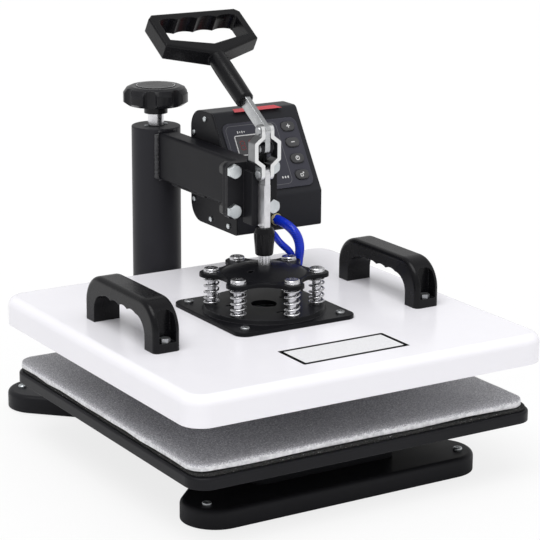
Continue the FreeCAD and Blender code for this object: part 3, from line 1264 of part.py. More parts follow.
def element_path_solid(radius):
    """Serpentine round bar at the element's level."""
    z = HEAT_TOP_Z - ELEMENT_R - ELEMENT_BURY + 2.0
    pitch = ELEMENT_PITCH
    first = -(ELEMENT_RUNS - 1) * pitch / 2
    pieces = []
    reach = ELEMENT_REACH - pitch / 2
    for i in range(ELEMENT_RUNS):
        x = first + i * pitch
        pieces.append(rod(radius, 2 * reach, V(x, PLATEN_Y - reach, z), Y_AXIS))
        if i < ELEMENT_RUNS - 1:
            side = 1 if i % 2 == 0 else -1
            centre = V(x + pitch / 2, PLATEN_Y + side * reach, z)
            bend = Part.makeTorus(pitch / 2, radius, centre, Z_AXIS)
            y0 = centre.y if side > 0 else centre.y - pitch
            bend = bend.common(box(centre.x - pitch, centre.x + pitch, y0, y0 + pitch, z - 20, z + 20))
            pieces.append(bend)
    return join(pieces)


def make_heating_element():
    """Tubular heating element laid in the plate's groove."""
    return element_path_solid(ELEMENT_R)


def make_insulation_pad():
    """Glass wool blanket between the heating plate and the cover."""
    w = HEAT_W / 2 - INSULATION_INSET
    d = HEAT_D / 2 - INSULATION_INSET
    cy = PLATEN_Y
    z0 = HEAT_TOP_Z + 1.5
    pad = rounded_block(-w, w, cy - d, cy + d, z0, z0 + INSULATION_T, HEAT_CORNER_R)
    tools = [rod(HEAT_BOSS_R + 0.6, 40.0, spring_spot(i, HEAT_TOP_Z - 5.0)) for i in range(SPRING_N)]
    for at in handle_bolt_spots():
        tools.append(rod(9.0, 40.0, V(at.x, at.y, HEAT_TOP_Z)))
    for at in mount_screw_spots():
        tools.append(rod(MOUNT_SCREW_R + 2.5, 40.0, V(at.x, at.y, HEAT_TOP_Z)))
    for path, radius in cable_ends():
        tools.append(rod(radius + 2.5, 40.0, V(path[-1][0], path[-1][1], HEAT_TOP_Z)))
    return cut_all(pad, tools)


def make_handle(side):
    """Bridge handle with finger scallops and a bolt pocket at each end."""
    cy = PLUNGER_Y
    x0 = side * HANDLE_X - HANDLE_W / 2
    x1 = x0 + HANDLE_W
    half = HANDLE_L / 2
    z0 = COVER_TOP_Z
    body = box(x0, x1, cy - half, cy + half, z0, z0 + HANDLE_H)
    shoulders = edges_where(body, lambda b: b.XLength > 1 and b.YLength < 1e-3 and b.ZMin > z0 + 1)
    body = body.makeFillet(HANDLE_SHOULDER_R, shoulders)
    rims = edges_where(body, lambda b: b.XLength < 1e-3 and b.ZMax > z0 + 1)
    body = body.makeFillet(HANDLE_EDGE_R, rims)
    gap = half - HANDLE_LEG
    arch = box(x0 - 1, x1 + 1, cy - gap, cy + gap, z0 - 10.0, z0 + HANDLE_OPEN_H)
    bends = edges_where(arch, lambda b: b.XLength > 1 and b.YLength < 1e-3 and b.ZMin > z0 + 1)
    arch = arch.makeFillet(HANDLE_OPEN_R, bends)
    tools = [arch]
    ridge_r = (FINGER_W ** 2 / 4 + HANDLE_FINGER_DEPTH ** 2) / (2 * HANDLE_FINGER_DEPTH)
    for i in range(HANDLE_FINGERS):
        y = cy + (i - (HANDLE_FINGERS - 1) / 2) * FINGER_W
        z = z0 + HANDLE_OPEN_H + HANDLE_FINGER_DEPTH - ridge_r
        scoop = rod(ridge_r, HANDLE_W + 2, V(x0 - 1, y, z), X_AXIS)
        slab = box(x0 - 2, x1 + 2, y - FINGER_W / 2, y + FINGER_W / 2, z0 + 5.0, z0 + HANDLE_H - 4.0)
        tools.append(scoop.common(slab))
    xm = (x0 + x1) / 2
    pw = HANDLE_POCKET_W / 2
    for end in (-1, 1):
        ya = cy + end * half
        yb = ya - end * HANDLE_POCKET_D
        pocket = box(xm - pw, xm + pw, min(ya, yb) - (2 if end < 0 else 0), max(ya, yb) + (2 if end > 0 else 0),
                     z0 + HANDLE_POCKET_Z, z0 + HANDLE_POCKET_Z + HANDLE_POCKET_H)
        arch_edges = edges_where(pocket, lambda b: b.YLength > 1 and b.ZMin > z0 + HANDLE_POCKET_Z + 1)
        tools.append(pocket.makeFillet(HANDLE_POCKET_R, arch_edges))
    for at in handle_bolt_spots():
        tools.append(rod(HANDLE_BOLT_R + 0.3, 20.0, V(at.x, at.y, z0 - 5.0)))
    return cut_all(body, tools)


def make_cover_screws():
    """Hex bolts in the handle pockets with nuts under the cover, and the mount plate's four screws."""
    parts = []
    for at in handle_bolt_spots():
        seat = at + Z_AXIS * HANDLE_POCKET_Z
        length = HANDLE_POCKET_Z + COVER_WALL + 8.0
        parts.append(hex_bolt(HANDLE_BOLT_R, length, 9.6, 4.0, seat, Z_AXIS * -1))
        parts.append(hex_nut(HANDLE_BOLT_R, 9.6, 4.8, at - Z_AXIS * COVER_WALL, Z_AXIS * -1))
    for at in mount_screw_spots():
        head = rod(MOUNT_SCREW_HEAD_R, MOUNT_SCREW_HEAD_H, at)
        head = round_level(head, at.z + MOUNT_SCREW_HEAD_H, 1.4)
        length = MOUNT_T + COVER_WALL + 3.0
        screw = join([head, rod(MOUNT_SCREW_R, length, at, Z_AXIS * -1)])
        parts.append(screw.cut(cross_recess(at + Z_AXIS * MOUNT_SCREW_HEAD_H)))
    return parts


# control box

def box_profile(x, inset):
    """Side outline of the control box in the YZ plane, as a face at one x."""
    y0 = BOX_FRONT_Y
    z0 = BOX_Z
    y1 = y0 + BOX_D
    z1 = z0 + BOX_H
    crease = (y0, z0 + BOX_CREASE_H)
    brow_y = y0 + BOX_SLOPE_D
    top_y = brow_y + (BOX_H - BOX_CREASE_H - BOX_SLOPE_H) * BOX_SLOPE_D / BOX_SLOPE_H
    points = [(y0, z0), crease, (top_y, z1), (y1, z1), (y1, z0)]
    solid = side_prism(points, x, x + 10.0)
    radii = [(y0, z0, 3.0), (crease[0], crease[1], BOX_CREASE_R), (top_y, z1, BOX_TOP_R),
             (y1, z1, BOX_REAR_R), (y1, z0, BOX_REAR_R)]
    for y, z, radius in radii:
        near = edges_where(solid, lambda b: b.XLength > 1 and b.YLength < 1e-3 and b.ZLength < 1e-3
                           and abs(b.YMin - y) < 1e-3 and abs(b.ZMin - z) < 1e-3)
        solid = solid.makeFillet(radius, near)
    face = [f for f in solid.Faces if f.BoundBox.XLength < 1e-3 and abs(f.BoundBox.XMin - x) < 1e-3][0]
    if inset:
        wire = face.OuterWire.makeOffset2D(-inset)
        face = Part.Face(wire)
    return face


def slope_frame():
    """Placement on the sloped face: X right, Y up the slope, Z outwards."""
    up = V(0, BOX_SLOPE_D, BOX_SLOPE_H).normalize()
    out = V(0, -BOX_SLOPE_H, BOX_SLOPE_D).normalize()
    origin = V(BOX_X + BOX_W / 2, BOX_FRONT_Y + BOX_SLOPE_D / 2, BOX_Z + BOX_CREASE_H + BOX_SLOPE_H / 2)
    return FreeCAD.Placement(origin, FreeCAD.Rotation(X_AXIS, up, out, "ZXY"))


def on_slope(shape):
    """Shape moved from slope coordinates to the row frame."""
    shape.Placement = slope_frame().multiply(shape.Placement)
    return shape


def slope_block(cx, cy, w, h, z0, z1, radius):
    """Rounded block on the sloped face."""
    return on_slope(rounded_block(cx - w / 2, cx + w / 2, cy - h / 2, cy + h / 2, z0, z1, radius))


def button_spots():
    """Centres of the four buttons in slope coordinates."""
    return [(BUTTON_X, BUTTON_TOP_UP - i * BUTTON_PITCH) for i in range(4)]


def panel_screw_spots():
    """Screws near the rim of the control box's side panel."""
    y0 = BOX_FRONT_Y
    z0 = BOX_Z
    inset = BOX_LIP * 0.58
    return [(y0 + BOX_D - inset, z0 + SIDE_SCREW_HIGH), (y0 + BOX_D - inset, z0 + SIDE_SCREW_LOW),
            (y0 + SIDE_SCREW_BACK, z0 + inset), (y0 + SIDE_SCREW_FRONT, z0 + inset),
            (y0 + SIDE_SCREW_TOP, z0 + BOX_H - inset)]


def make_box_shell():
    """Folded control box, open on its left side, with every cut-out in its own wall."""
    outer = box_profile(BOX_X + BOX_WALL, 0).extrude(V(BOX_W - BOX_WALL, 0, 0))
    inner = box_profile(BOX_X + BOX_WALL, BOX_WALL).extrude(V(BOX_W - 2 * BOX_WALL, 0, 0))
    tools = [inner]
    tools.append(slope_block(DISPLAY_X, DISPLAY_UP, DISPLAY_W, DISPLAY_H, -6.0, 6.0, 2.0))
    for cx, cy in button_spots():
        tools.append(slope_block(cx, cy, BUTTON_W + 2 * BUTTON_GAP, BUTTON_H + 2 * BUTTON_GAP, -6.0, 6.0,
                                 BUTTON_H / 2))
    rear = BOX_FRONT_Y + BOX_D
    tools.append(switch_block(SWITCH_FRAME_T + 0.1, rear - 5, rear + 5, SWITCH_FRAME_T + 0.1))
    tools.append(box(INLET_X - INLET_W / 2, INLET_X + INLET_W / 2, rear - 5, rear + 5,
                     INLET_Z - INLET_H / 2, INLET_Z + INLET_H / 2))
    tools.append(rod(FUSE_R, 10.0, V(FUSE_X, rear - 5, FUSE_Z), Y_AXIS))
    for path, radius in cable_ends():
        x, y, z = path[0]
        tools.append(rod(radius + 1.5, 10.0, V(x, BOX_FRONT_Y - 4.0, z), Y_AXIS))
    shell = cut_all(outer, tools)
    lip = box_profile(BOX_X + BOX_WALL, 0.5).extrude(V(BOX_WALL, 0, 0))
    lip = lip.cut(box_profile(BOX_X + BOX_WALL - 1.0, BOX_LIP).extrude(V(2 * BOX_WALL + 2.0, 0, 0)))
    shell = join([shell, lip])
    taps = [rod(BOX_SCREW_R + RUN_GAP, 8.0, V(BOX_X, y, z), X_AXIS) for y, z in panel_screw_spots()]
    vents = []
    for i in range(6):
        y = BOX_FRONT_Y + 46.0 + i * 6.0
        vents.append(box(BOX_X + 30.0, BOX_X + BOX_W - 15.0, y, y + 2.5, BOX_Z - 2.0, BOX_Z + 4.0))
    return cut_all(shell, taps + vents)


def make_side_panel():
    """Plate that closes the box's left side."""
    panel = box_profile(BOX_X, 0).extrude(V(BOX_WALL, 0, 0))
    rim = edges_where(panel, lambda b: abs(b.XMax - BOX_X) < 1e-3 and b.XLength < 1e-3)
    panel = panel.makeFillet(0.6, rim)
    holes = [rod(BOX_SCREW_R + 0.3, 10.0, V(BOX_X - 4, y, z), X_AXIS) for y, z in panel_screw_spots()]
    return cut_all(panel, holes)


def make_panel_screws():
    """Pan head screws of the side panel."""
    screws = []
    for y, z in panel_screw_spots():
        shank = rod(BOX_SCREW_R, 8.5, V(BOX_X, y, z), X_AXIS)
        head = rod(BOX_SCREW_HEAD_R, BOX_SCREW_HEAD_H, V(BOX_X, y, z), X_AXIS * -1)
        rim = edges_where(head, lambda b: b.XLength < 1e-3 and b.XMax < BOX_X - 1)
        screws.append(join([head.makeFillet(1.1, rim), shank]))
    return screws


def make_box_bracket():
    """Steel angle under the arm that carries the control box."""
    y0 = BOX_FRONT_Y + 30.0
    y1 = BOX_FRONT_Y + BOX_D + 4.0
    z = ARM_BOTTOM_Z
    flat = box(-ARM_W / 2 + 3.0, BOX_X, y0, y1, z - 2.0, z)
    leaf = box(BOX_X - BRACKET_T, BOX_X, y0, y1, z - BRACKET_LEAF, z)
    return join([flat, leaf])


def make_control_panel():
    """Raised keypad panel on the sloped face."""
    panel = slope_block(0, -1.0, PANEL_W, PANEL_L, 0.0, PANEL_T, PANEL_CORNER_R)
    tools = [slope_block(DISPLAY_X, DISPLAY_UP, DISPLAY_W, DISPLAY_H, -6.0, 6.0, 2.0)]
    for cx, cy in button_spots():
        tools.append(slope_block(cx, cy, BUTTON_W + 2 * BUTTON_GAP, BUTTON_H + 2 * BUTTON_GAP, -6.0, 6.0,
                                 BUTTON_H / 2))
    return cut_all(panel, tools)


def make_display_window():
    """Smoked window over the digits."""
    return slope_block(DISPLAY_X, DISPLAY_UP, DISPLAY_W - 0.3, DISPLAY_H - 0.3, -2.0, PANEL_T - 0.2, 1.9)


def make_circuit_board():
    """Board behind the sloped face with its display module, transformer and relay blocks."""
    z1 = -BOARD_DEEP
    board = slope_block(0, 0, PANEL_W - 6.0, PANEL_L - 12.0, z1 - BOARD_T, z1, 2.0)
    module = slope_block(DISPLAY_X, DISPLAY_UP, DISPLAY_W - 2.0, DISPLAY_H - 2.0, z1, -3.0, 1.0)
    switches = [slope_block(cx, cy, 6.0, 6.0, z1, -6.0, 0.5) for cx, cy in button_spots()]
    coil = slope_block(-22.0, -20.0, 20.0, 16.0, z1 - BOARD_T - 12.0, z1 - BOARD_T, 1.5)
    return join([board, module, coil] + switches)


def make_relay():
    """Solid state relay on the box floor."""
    y0 = BOX_FRONT_Y + RELAY_FROM
    y1 = BOX_FRONT_Y + BOX_D - RELAY_REAR
    x0 = BOX_X + RELAY_X
    x1 = x0 + RELAY_W
    z0 = BOX_Z + BOX_WALL
    base = box(x0, x1, y0, y1, z0, z0 + 3.0)
    body = rounded_block(x0 + RELAY_EDGE, x1 - RELAY_EDGE, y0 + RELAY_FOOT, y1 - RELAY_FOOT, z0 + 3.0,
                         z0 + RELAY_H, 2.0)
    notches = [rod(2.2, 20.0, V((x0 + x1) / 2, y, z0 - 5.0)) for y in (y0 + 2.5, y1 - 2.5)]
    return cut_all(join([base, body]), notches)


def make_mains_inlet():
    """Mains inlet with its pin cavity and three pins."""
    rear = BOX_FRONT_Y + BOX_D
    w = INLET_W / 2
    h = INLET_H / 2
    body = box(INLET_X - w + 0.2, INLET_X + w - 0.2, rear - INLET_D, rear, INLET_Z - h + 0.2, INLET_Z + h - 0.2)
    flange = box(INLET_X - w - 2.0, INLET_X + w + 2.0, rear, rear + 2.5, INLET_Z - h - 2.0, INLET_Z + h + 2.0)
    lips = edges_where(flange, lambda b: b.YLength > 1 and b.XLength < 1e-3 and b.ZLength < 1e-3)
    flange = flange.makeFillet(2.0, lips)
    whole = join([body, flange])
    cavity = box(INLET_X - w + 2.5, INLET_X + w - 2.5, rear - INLET_D + 3.0, rear + 5.0,
                 INLET_Z - h + 2.5, INLET_Z + h - 2.5)
    whole = whole.cut(cavity)
    pins = []
    for dx, dz in ((-7.0, -1.5), (0.0, 2.5), (7.0, -1.5)):
        pins.append(box(INLET_X + dx - 1.0, INLET_X + dx + 1.0, rear - INLET_D + 2.0, rear - 4.0,
                        INLET_Z + dz - 2.0, INLET_Z + dz + 2.0))
    return join([whole] + pins)


def make_fuse_holder():
    """Screw-cap fuse holder beside the inlet."""
    rear = BOX_FRONT_Y + BOX_D
    barrel = rod(FUSE_R - 0.2, 22.0, V(FUSE_X, rear - 22.0, FUSE_Z), Y_AXIS)
    cap = rod(FUSE_R + 1.5, 8.0, V(FUSE_X, rear, FUSE_Z), Y_AXIS)
    rim = edges_where(cap, lambda b: b.YLength < 1e-3 and b.YMax > rear + 7)
    cap = cap.makeFillet(1.2, rim)
    slot = box(FUSE_X - 5.0, FUSE_X + 5.0, rear + 6.5, rear + 9.0, FUSE_Z - 0.8, FUSE_Z + 0.8)
    return join([barrel, cap]).cut(slot)


def switch_block(grow, y0, y1, up):
    """Block centred on the rocker's opening."""
    w = SWITCH_W / 2 + grow
    h = SWITCH_H / 2 + up
    return box(SWITCH_X - w, SWITCH_X + w, y0, y1, SWITCH_Z - h, SWITCH_Z + h)


def make_switch_frame():
    """Snap-in frame that carries the rocker."""
    rear = BOX_FRONT_Y + BOX_D
    t = SWITCH_FRAME_T
    body = switch_block(t, rear - SWITCH_FRAME_D, rear, t)
    bezel = switch_block(t + 2.0, rear, rear + t, t + 2.0)
    rim = edges_where(bezel, lambda b: abs(b.YMin - rear - t) < 1e-3 and b.YLength < 1e-3)
    bezel = bezel.makeFillet(0.8, rim)
    well = switch_block(SWITCH_GAP, rear - SWITCH_FRAME_D + 1.5, rear + 5.0, SWITCH_GAP)
    bores = [rod(1.5 + RUN_GAP, 3 * t, V(SWITCH_X + s * SWITCH_W / 2, rear - SWITCH_PIVOT_IN, SWITCH_Z), X_AXIS * s)
             for s in (-1, 1)]
    bores = [b.common(switch_block(SWITCH_GAP + 1.5, rear - SWITCH_FRAME_D, rear, 0)) for b in bores]
    return cut_all(join([body, bezel]), [well] + bores)


def make_power_switch():
    """Rocker with its two slanted faces and its pivot stubs, tipped to off."""
    rear = BOX_FRONT_Y + BOX_D
    w = SWITCH_W / 2
    h = SWITCH_H / 2 - 1.2
    pivot = V(SWITCH_X, rear - SWITCH_PIVOT_IN, SWITCH_Z)
    outline = [(rear - 9.0, SWITCH_Z - 5.0), (rear - 1.0, SWITCH_Z - h), (rear + 4.4, SWITCH_Z - h),
               (rear + 2.2, SWITCH_Z), (rear + 4.4, SWITCH_Z + h), (rear - 1.0, SWITCH_Z + h),
               (rear - 9.0, SWITCH_Z + 5.0)]
    rocker = side_prism(outline, SWITCH_X - w, SWITCH_X + w)
    stubs = [rod(1.5, SWITCH_GAP + 1.2, pivot + X_AXIS * s * w, X_AXIS * s) for s in (-1, 1)]
    whole = join([rocker] + stubs)
    whole.rotate(pivot, X_AXIS, SWITCH_TILT)
    return whole


def make_button(index):
    """Oval push button with a collar inside and a stem over its switch."""
    cx, cy = button_spots()[index]
    r = BUTTON_H / 2 - 0.01
    cap = rounded_block(cx - BUTTON_W / 2, cx + BUTTON_W / 2, cy - BUTTON_H / 2, cy + BUTTON_H / 2,
                        -3.5, PANEL_T + BUTTON_PROUD, r)
    cap = round_level(cap, PANEL_T + BUTTON_PROUD, 1.0)
    collar = rounded_block(cx - BUTTON_W / 2 - 0.9, cx + BUTTON_W / 2 + 0.9, cy - BUTTON_H / 2 - 0.9,
                           cy + BUTTON_H / 2 + 0.9, -4.2, -2.4, r + 0.8)
    stem = rod(1.5, 1.3, V(cx, cy, -4.2 - 0.6))
    return on_slope(join([cap, collar, stem]))


def make_cable_glands():
    """Flanged bushes where the platen cables leave the box."""
    parts = []
    for path, radius in cable_ends():
        x, y, z = path[0]
        flange = rod(radius + 2.5, GLAND_L, V(x, BOX_FRONT_Y - GLAND_L, z), Y_AXIS)
        neck = rod(radius + 1.4, 5.0, V(x, BOX_FRONT_Y - 1.0, z), Y_AXIS)
        bore = rod(radius - 0.8, 20.0, V(x, BOX_FRONT_Y - GLAND_L + 1.0, z), Y_AXIS)
        parts.append(join([flange, neck]).cut(bore))
    return parts


def make_cable_grommet():
    """Twin rubber bush through the mount plate and the cover, in which the cables' ends can slide."""
    bodies = []
    bores = []
    for path, radius in cable_ends():
        x, y, _ = path[-1]
        low = COVER_TOP_Z - COVER_WALL
        bodies.append(Part.makeCone(radius + GROMMET_RIM, radius + GROMMET_RIM - 0.8, GROMMET_H, V(x, y, MOUNT_TOP_Z)))
        bodies.append(rod(radius + GROMMET_WALL, MOUNT_TOP_Z - low + 1.0, V(x, y, low)))
        bores.append(rod(radius + CABLE_GAP, 40.0, V(x, y, low - 10.0)))
    return cut_all(join(bodies), bores)


def make_cable(path, radius, label):
    """Cable as straight runs joined by tangent arcs."""
    points = [V(*p) for p in path]
    edges = []
    start = points[0]
    for i in range(1, len(points) - 1):
        back = points[i - 1] - points[i]
        ahead = points[i + 1] - points[i]
        turn = math.pi - back.getAngle(ahead)
        cut = 0.45 * min(back.Length, ahead.Length)
        bend_r = cut / math.tan(turn / 2)
        a = points[i] + back.normalize() * cut
        b = points[i] + ahead.normalize() * cut
        centre_dir = (back + ahead).normalize()
        centre = points[i] + centre_dir * (bend_r / math.cos(turn / 2))
        middle = centre - centre_dir * bend_r
        edges.append(Part.LineSegment(start, a).toShape())
        edges.append(Part.Arc(a, middle, b).toShape())
        start = b
        print(label, "bend radius", round(bend_r, 1), "mm, turn", round(math.degrees(turn)), "degrees")
    edges.append(Part.LineSegment(start, points[-1]).toShape())
    wire = Part.Wire(edges)
    direction = (points[1] - points[0]).normalize()
    section = Part.Wire(Part.Circle(points[0], direction, radius).toShape())
    tube = wire.makePipeShell([section], True, False)
    print(label, "length", round(wire.Length, 1), "mm, volume ratio",
          round(tube.Volume / (math.pi * radius ** 2 * wire.Length), 4))
    return tube


write("front_foot", make_foot(FRONT_FOOT_Y, 1))
write("rear_foot", make_foot(REAR_FOOT_Y, -1))
write("foot_screws", make_foot_screws())
write("rubber_feet", make_rubber_feet())
write("base_spine", make_base_spine())
write("base_bolts", make_base_bolts())
write("lower_plate", make_lower_plate())
write("foam_sheet", make_foam_sheet())
write("silicone_pad", make_silicone_pad())
write("post_core", make_post_core())
write("thrust_washer", make_thrust_washer())
write("post_sleeve", make_post_sleeve())
write("post_bushes", make_post_bushes())
write("cap_screws", make_cap_screws())
write("knob_stud", make_knob_stud())
write("lock_knob", make_lock_knob())
write("knob_disc", make_knob_disc())
write("arm_beam", make_arm_beam())
write("toggle_bracket", make_toggle_bracket())
write("bracket_bolts", make_bracket_bolts())
write("crank_pin", make_crank_pin())
write("lever_bar", make_lever_bar())
write("lever_grip", make_lever_grip())
write("left_link_strap", make_link_strap(-1))
write("right_link_strap", make_link_strap(1))
write("link_pins", make_link_pins())
write("plunger_bar", make_plunger_bar())
write("pressure_sleeve", make_pressure_sleeve())
write("spring_hub", make_spring_hub())
write("hub_stud", make_hub_stud())
write("spring_bolts", make_spring_bolts())
write("pressure_springs", [make_spring(i) for i in range(SPRING_N)])
write("mount_plate", make_mount_plate())
write("platen_cover", make_platen_cover())
write("heating_plate", make_heating_plate())
write("heating_element", make_heating_element())
write("insulation_pad", make_insulation_pad())
write("left_handle", make_handle(-1))
write("right_handle", make_handle(1))
write("cover_screws", make_cover_screws())
write("box_shell", make_box_shell())
write("box_side_panel", make_side_panel())
write("panel_screws", make_panel_screws())
write("box_bracket", make_box_bracket())
write("control_panel", make_control_panel())
write("display_window", make_display_window())
write("circuit_board", make_circuit_board())
write("power_relay", make_relay())
write("mains_inlet", make_mains_inlet())
write("fuse_holder", make_fuse_holder())
write("switch_frame", make_switch_frame())
write("power_switch", make_power_switch())
write("plus_button", make_button(0))
write("minus_button", make_button(1))
write("timer_button", make_button(2))
write("mode_button", make_button(3))
write("cable_glands", make_cable_glands())
write("cable_grommet", make_cable_grommet())
write("heater_cable", make_cable(HEATER_CABLE_PATH, HEATER_CABLE_R, "heater cable"))
write("sensor_cable", make_cable(SENSOR_CABLE_PATH, SENSOR_CABLE_R, "sensor cable"))
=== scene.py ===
import json
import math
import random

import bpy
from mathutils import Matrix, Vector


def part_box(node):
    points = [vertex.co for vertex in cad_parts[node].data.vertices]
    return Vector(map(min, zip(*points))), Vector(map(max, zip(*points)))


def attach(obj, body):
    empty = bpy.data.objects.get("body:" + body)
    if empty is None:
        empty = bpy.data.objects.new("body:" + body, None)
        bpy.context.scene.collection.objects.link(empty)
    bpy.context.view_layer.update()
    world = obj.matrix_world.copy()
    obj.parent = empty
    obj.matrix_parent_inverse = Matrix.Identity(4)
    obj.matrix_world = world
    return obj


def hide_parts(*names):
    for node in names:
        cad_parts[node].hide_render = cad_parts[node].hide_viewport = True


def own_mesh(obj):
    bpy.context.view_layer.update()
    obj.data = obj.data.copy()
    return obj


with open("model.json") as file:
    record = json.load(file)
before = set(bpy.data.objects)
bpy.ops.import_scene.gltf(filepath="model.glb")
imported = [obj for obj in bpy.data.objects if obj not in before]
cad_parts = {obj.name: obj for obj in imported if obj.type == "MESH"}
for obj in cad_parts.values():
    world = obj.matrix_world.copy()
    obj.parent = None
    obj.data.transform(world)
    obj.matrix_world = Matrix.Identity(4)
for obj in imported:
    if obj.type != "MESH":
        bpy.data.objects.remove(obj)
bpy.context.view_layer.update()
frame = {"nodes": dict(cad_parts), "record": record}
NODES = frame["nodes"]
SLOT_OF = {s["node"]: s["material_slot"] for s in frame["record"]["subparts"]}

# shared numbers: metres, and degrees for the creases that stay sharp
CAD_CREASE = 32
MESH_CREASE = 35
SLAB_CREASE = 50
BEVEL_SAMPLES = 4
# reach of the lightened edges, which are partly rubbed wear and partly painted highlight
EDGE_WEAR_AND_HIGHLIGHT_REACH = 0.0007
PLATED_BEVEL = 0.0004
PRESS_Y = -0.042
SPRING_CIRCLE_R = 0.052
INK = 0.00006
CIRCLE_STEPS = 64


# materials

class Look:
    """One procedural material, built on object coordinates."""

    def __init__(self, name, rough=0.5, metal=0.0, specular=0.5, coat=0.0, coat_rough=0.1, bevel=0.0):
        self.mat = bpy.data.materials.new(name)
        self.mat.use_nodes = True
        self.tree = self.mat.node_tree
        self.tree.nodes.clear()
        self.out = self.node("ShaderNodeOutputMaterial")
        self.bsdf = self.node("ShaderNodeBsdfPrincipled")
        self.link(self.bsdf.outputs[0], self.out.inputs[0])
        self.co = self.node("ShaderNodeTexCoord").outputs["Object"]
        self.bsdf.inputs["Roughness"].default_value = rough
        self.bsdf.inputs["Metallic"].default_value = metal
        self.bsdf.inputs["Specular IOR Level"].default_value = specular
        self.bsdf.inputs["Coat Weight"].default_value = coat
        self.bsdf.inputs["Coat Roughness"].default_value = coat_rough
        self.normal = None
        if bevel:
            self.normal = self.rounded_normal(bevel)
            self.link(self.normal, self.bsdf.inputs["Normal"])

    def node(self, kind):
        return self.tree.nodes.new(kind)

    def link(self, a, b):
        self.tree.links.new(a, b)

    def rounded_normal(self, radius):
        edge = self.node("ShaderNodeBevel")
        edge.samples = BEVEL_SAMPLES
        edge.inputs["Radius"].default_value = radius
        return edge.outputs[0]

    def dot(self, vector, direction):
        """How far a vector goes along a direction, which is fixed or another output."""
        node = self.node("ShaderNodeVectorMath")
        node.operation = "DOT_PRODUCT"
        self.link(vector, node.inputs[0])
        if isinstance(direction, Vector):
            node.inputs[1].default_value = direction
        else:
            self.link(direction, node.inputs[1])
        return node.outputs["Value"]

    def maths(self, operation, value, other=0.0):
        node = self.node("ShaderNodeMath")
        node.operation = operation
        node.inputs[1].default_value = other
        self.link(value, node.inputs[0])
        return node.outputs[0]

    def coords(self, stretch):
        if stretch is None:
            return self.co
        mapping = self.node("ShaderNodeMapping")
        mapping.inputs["Scale"].default_value = stretch
        self.link(self.co, mapping.inputs["Vector"])
        return mapping.outputs[0]

    def noise(self, scale, detail=4.0, rough=0.6, stretch=None):
        tex = self.node("ShaderNodeTexNoise")
        tex.inputs["Scale"].default_value = scale
        tex.inputs["Detail"].default_value = detail
        tex.inputs["Roughness"].default_value = rough
        self.link(self.coords(stretch), tex.inputs["Vector"])
        return tex.outputs["Fac"]

    def cells(self, scale, feature="F1"):
        tex = self.node("ShaderNodeTexVoronoi")
        tex.feature = feature
        tex.inputs["Scale"].default_value = scale
        self.link(self.co, tex.inputs["Vector"])
        return tex.outputs["Distance"]

    def ramp(self, fac, stops):
        node = self.node("ShaderNodeValToRGB")
        elements = node.color_ramp.elements
        while len(elements) < len(stops):
            elements.new(0.5)
        for element, (pos, value) in zip(elements, stops):
            element.position = pos
            rgb = value if isinstance(value, tuple) else (value, value, value)
            element.color = (*rgb, 1.0)
        self.link(fac, node.inputs[0])
        return node.outputs[0]

    def mix(self, fac, a, b, blend="MIX"):
        node = self.node("ShaderNodeMix")
        node.data_type = "RGBA"
        node.blend_type = blend
        if isinstance(fac, (int, float)):
            node.inputs[0].default_value = fac
        else:
            self.link(fac, node.inputs[0])
        for socket, value in ((node.inputs[6], a), (node.inputs[7], b)):
            if isinstance(value, tuple):
                socket.default_value = (*value, 1.0)
            else:
                self.link(value, socket)
        return node.outputs[2]

    def colour(self, value):
        self.link(value, self.bsdf.inputs["Base Color"])
        return self

    def roughness(self, value):
        self.link(value, self.bsdf.inputs["Roughness"])
        return self

    def bump(self, height, depth):
        node = self.node("ShaderNodeBump")
        node.inputs["Distance"].default_value = depth
        node.inputs["Strength"].default_value = 1.0
        self.link(height, node.inputs["Height"])
        if self.normal is not None:
            self.link(self.normal, node.inputs["Normal"])
        self.normal = node.outputs[0]
        self.link(self.normal, self.bsdf.inputs["Normal"])
        return self

    def edge_wear_and_highlight(self, colour, amount, bright):
        """Rubbed edges that are also a painted edge highlight: lighter where a rounded normal leaves the
        face's own.
        """
        face = self.node("ShaderNodeNewGeometry").outputs["Normal"]
        match = self.dot(self.rounded_normal(EDGE_WEAR_AND_HIGHLIGHT_REACH), face)
        sharp = self.ramp(match, [(0.80, amount), (0.97, 0.0)])
        rub = self.ramp(self.noise(260.0), [(0.36, 0.35), (0.62, 1.0)])
        return self.mix(self.mix(1.0, sharp, rub, "MULTIPLY"), colour, bright)


def painted(name, dark, light, rough, grain=1400.0, depth=0.00001, bevel=0.0010):
    """Powder coated sheet steel: orange peel, small tone changes, dust, and rubbed edges that are also a
    painted edge highlight.
    """
    look = Look(name, rough=rough, specular=0.10, bevel=bevel)
    tone = look.ramp(look.noise(14.0, 5.0), [(0.3, dark), (0.7, light)])
    dust = look.ramp(look.noise(900.0, 2.0), [(0.72, 0.0), (0.82, 0.04)])
    tone = look.mix(dust, tone, (0.12, 0.12, 0.13))
    # edges lightened: partly rubbed wear, partly painted highlight
    look.colour(look.edge_wear_and_highlight(tone, 0.60, (0.15, 0.15, 0.16)))
    look.roughness(look.ramp(look.noise(35.0, 6.0), [(0.3, rough - 0.02), (0.7, rough + 0.03)]))
    return look.bump(look.noise(grain, 3.0), depth).mat


def plated(name, dark, light, rough, stretch=None, scale=300.0, depth=0.00002):
    """Bright or zinc plated steel with fine drawn lines or a mottled bloom."""
    look = Look(name, metal=1.0, rough=rough, bevel=PLATED_BEVEL)
    fine = look.noise(scale, 5.0, 0.65, stretch)
    bloom = look.ramp(look.noise(60.0, 5.0), [(0.3, dark), (0.72, light)])
    look.colour(look.mix(look.ramp(fine, [(0.3, 0.0), (0.8, 0.28)]), bloom, tuple(0.62 * c for c in dark)))
    look.roughness(look.ramp(look.noise(110.0, 4.0), [(0.3, rough - 0.07), (0.75, rough + 0.12)]))
    return look.bump(fine, depth).mat


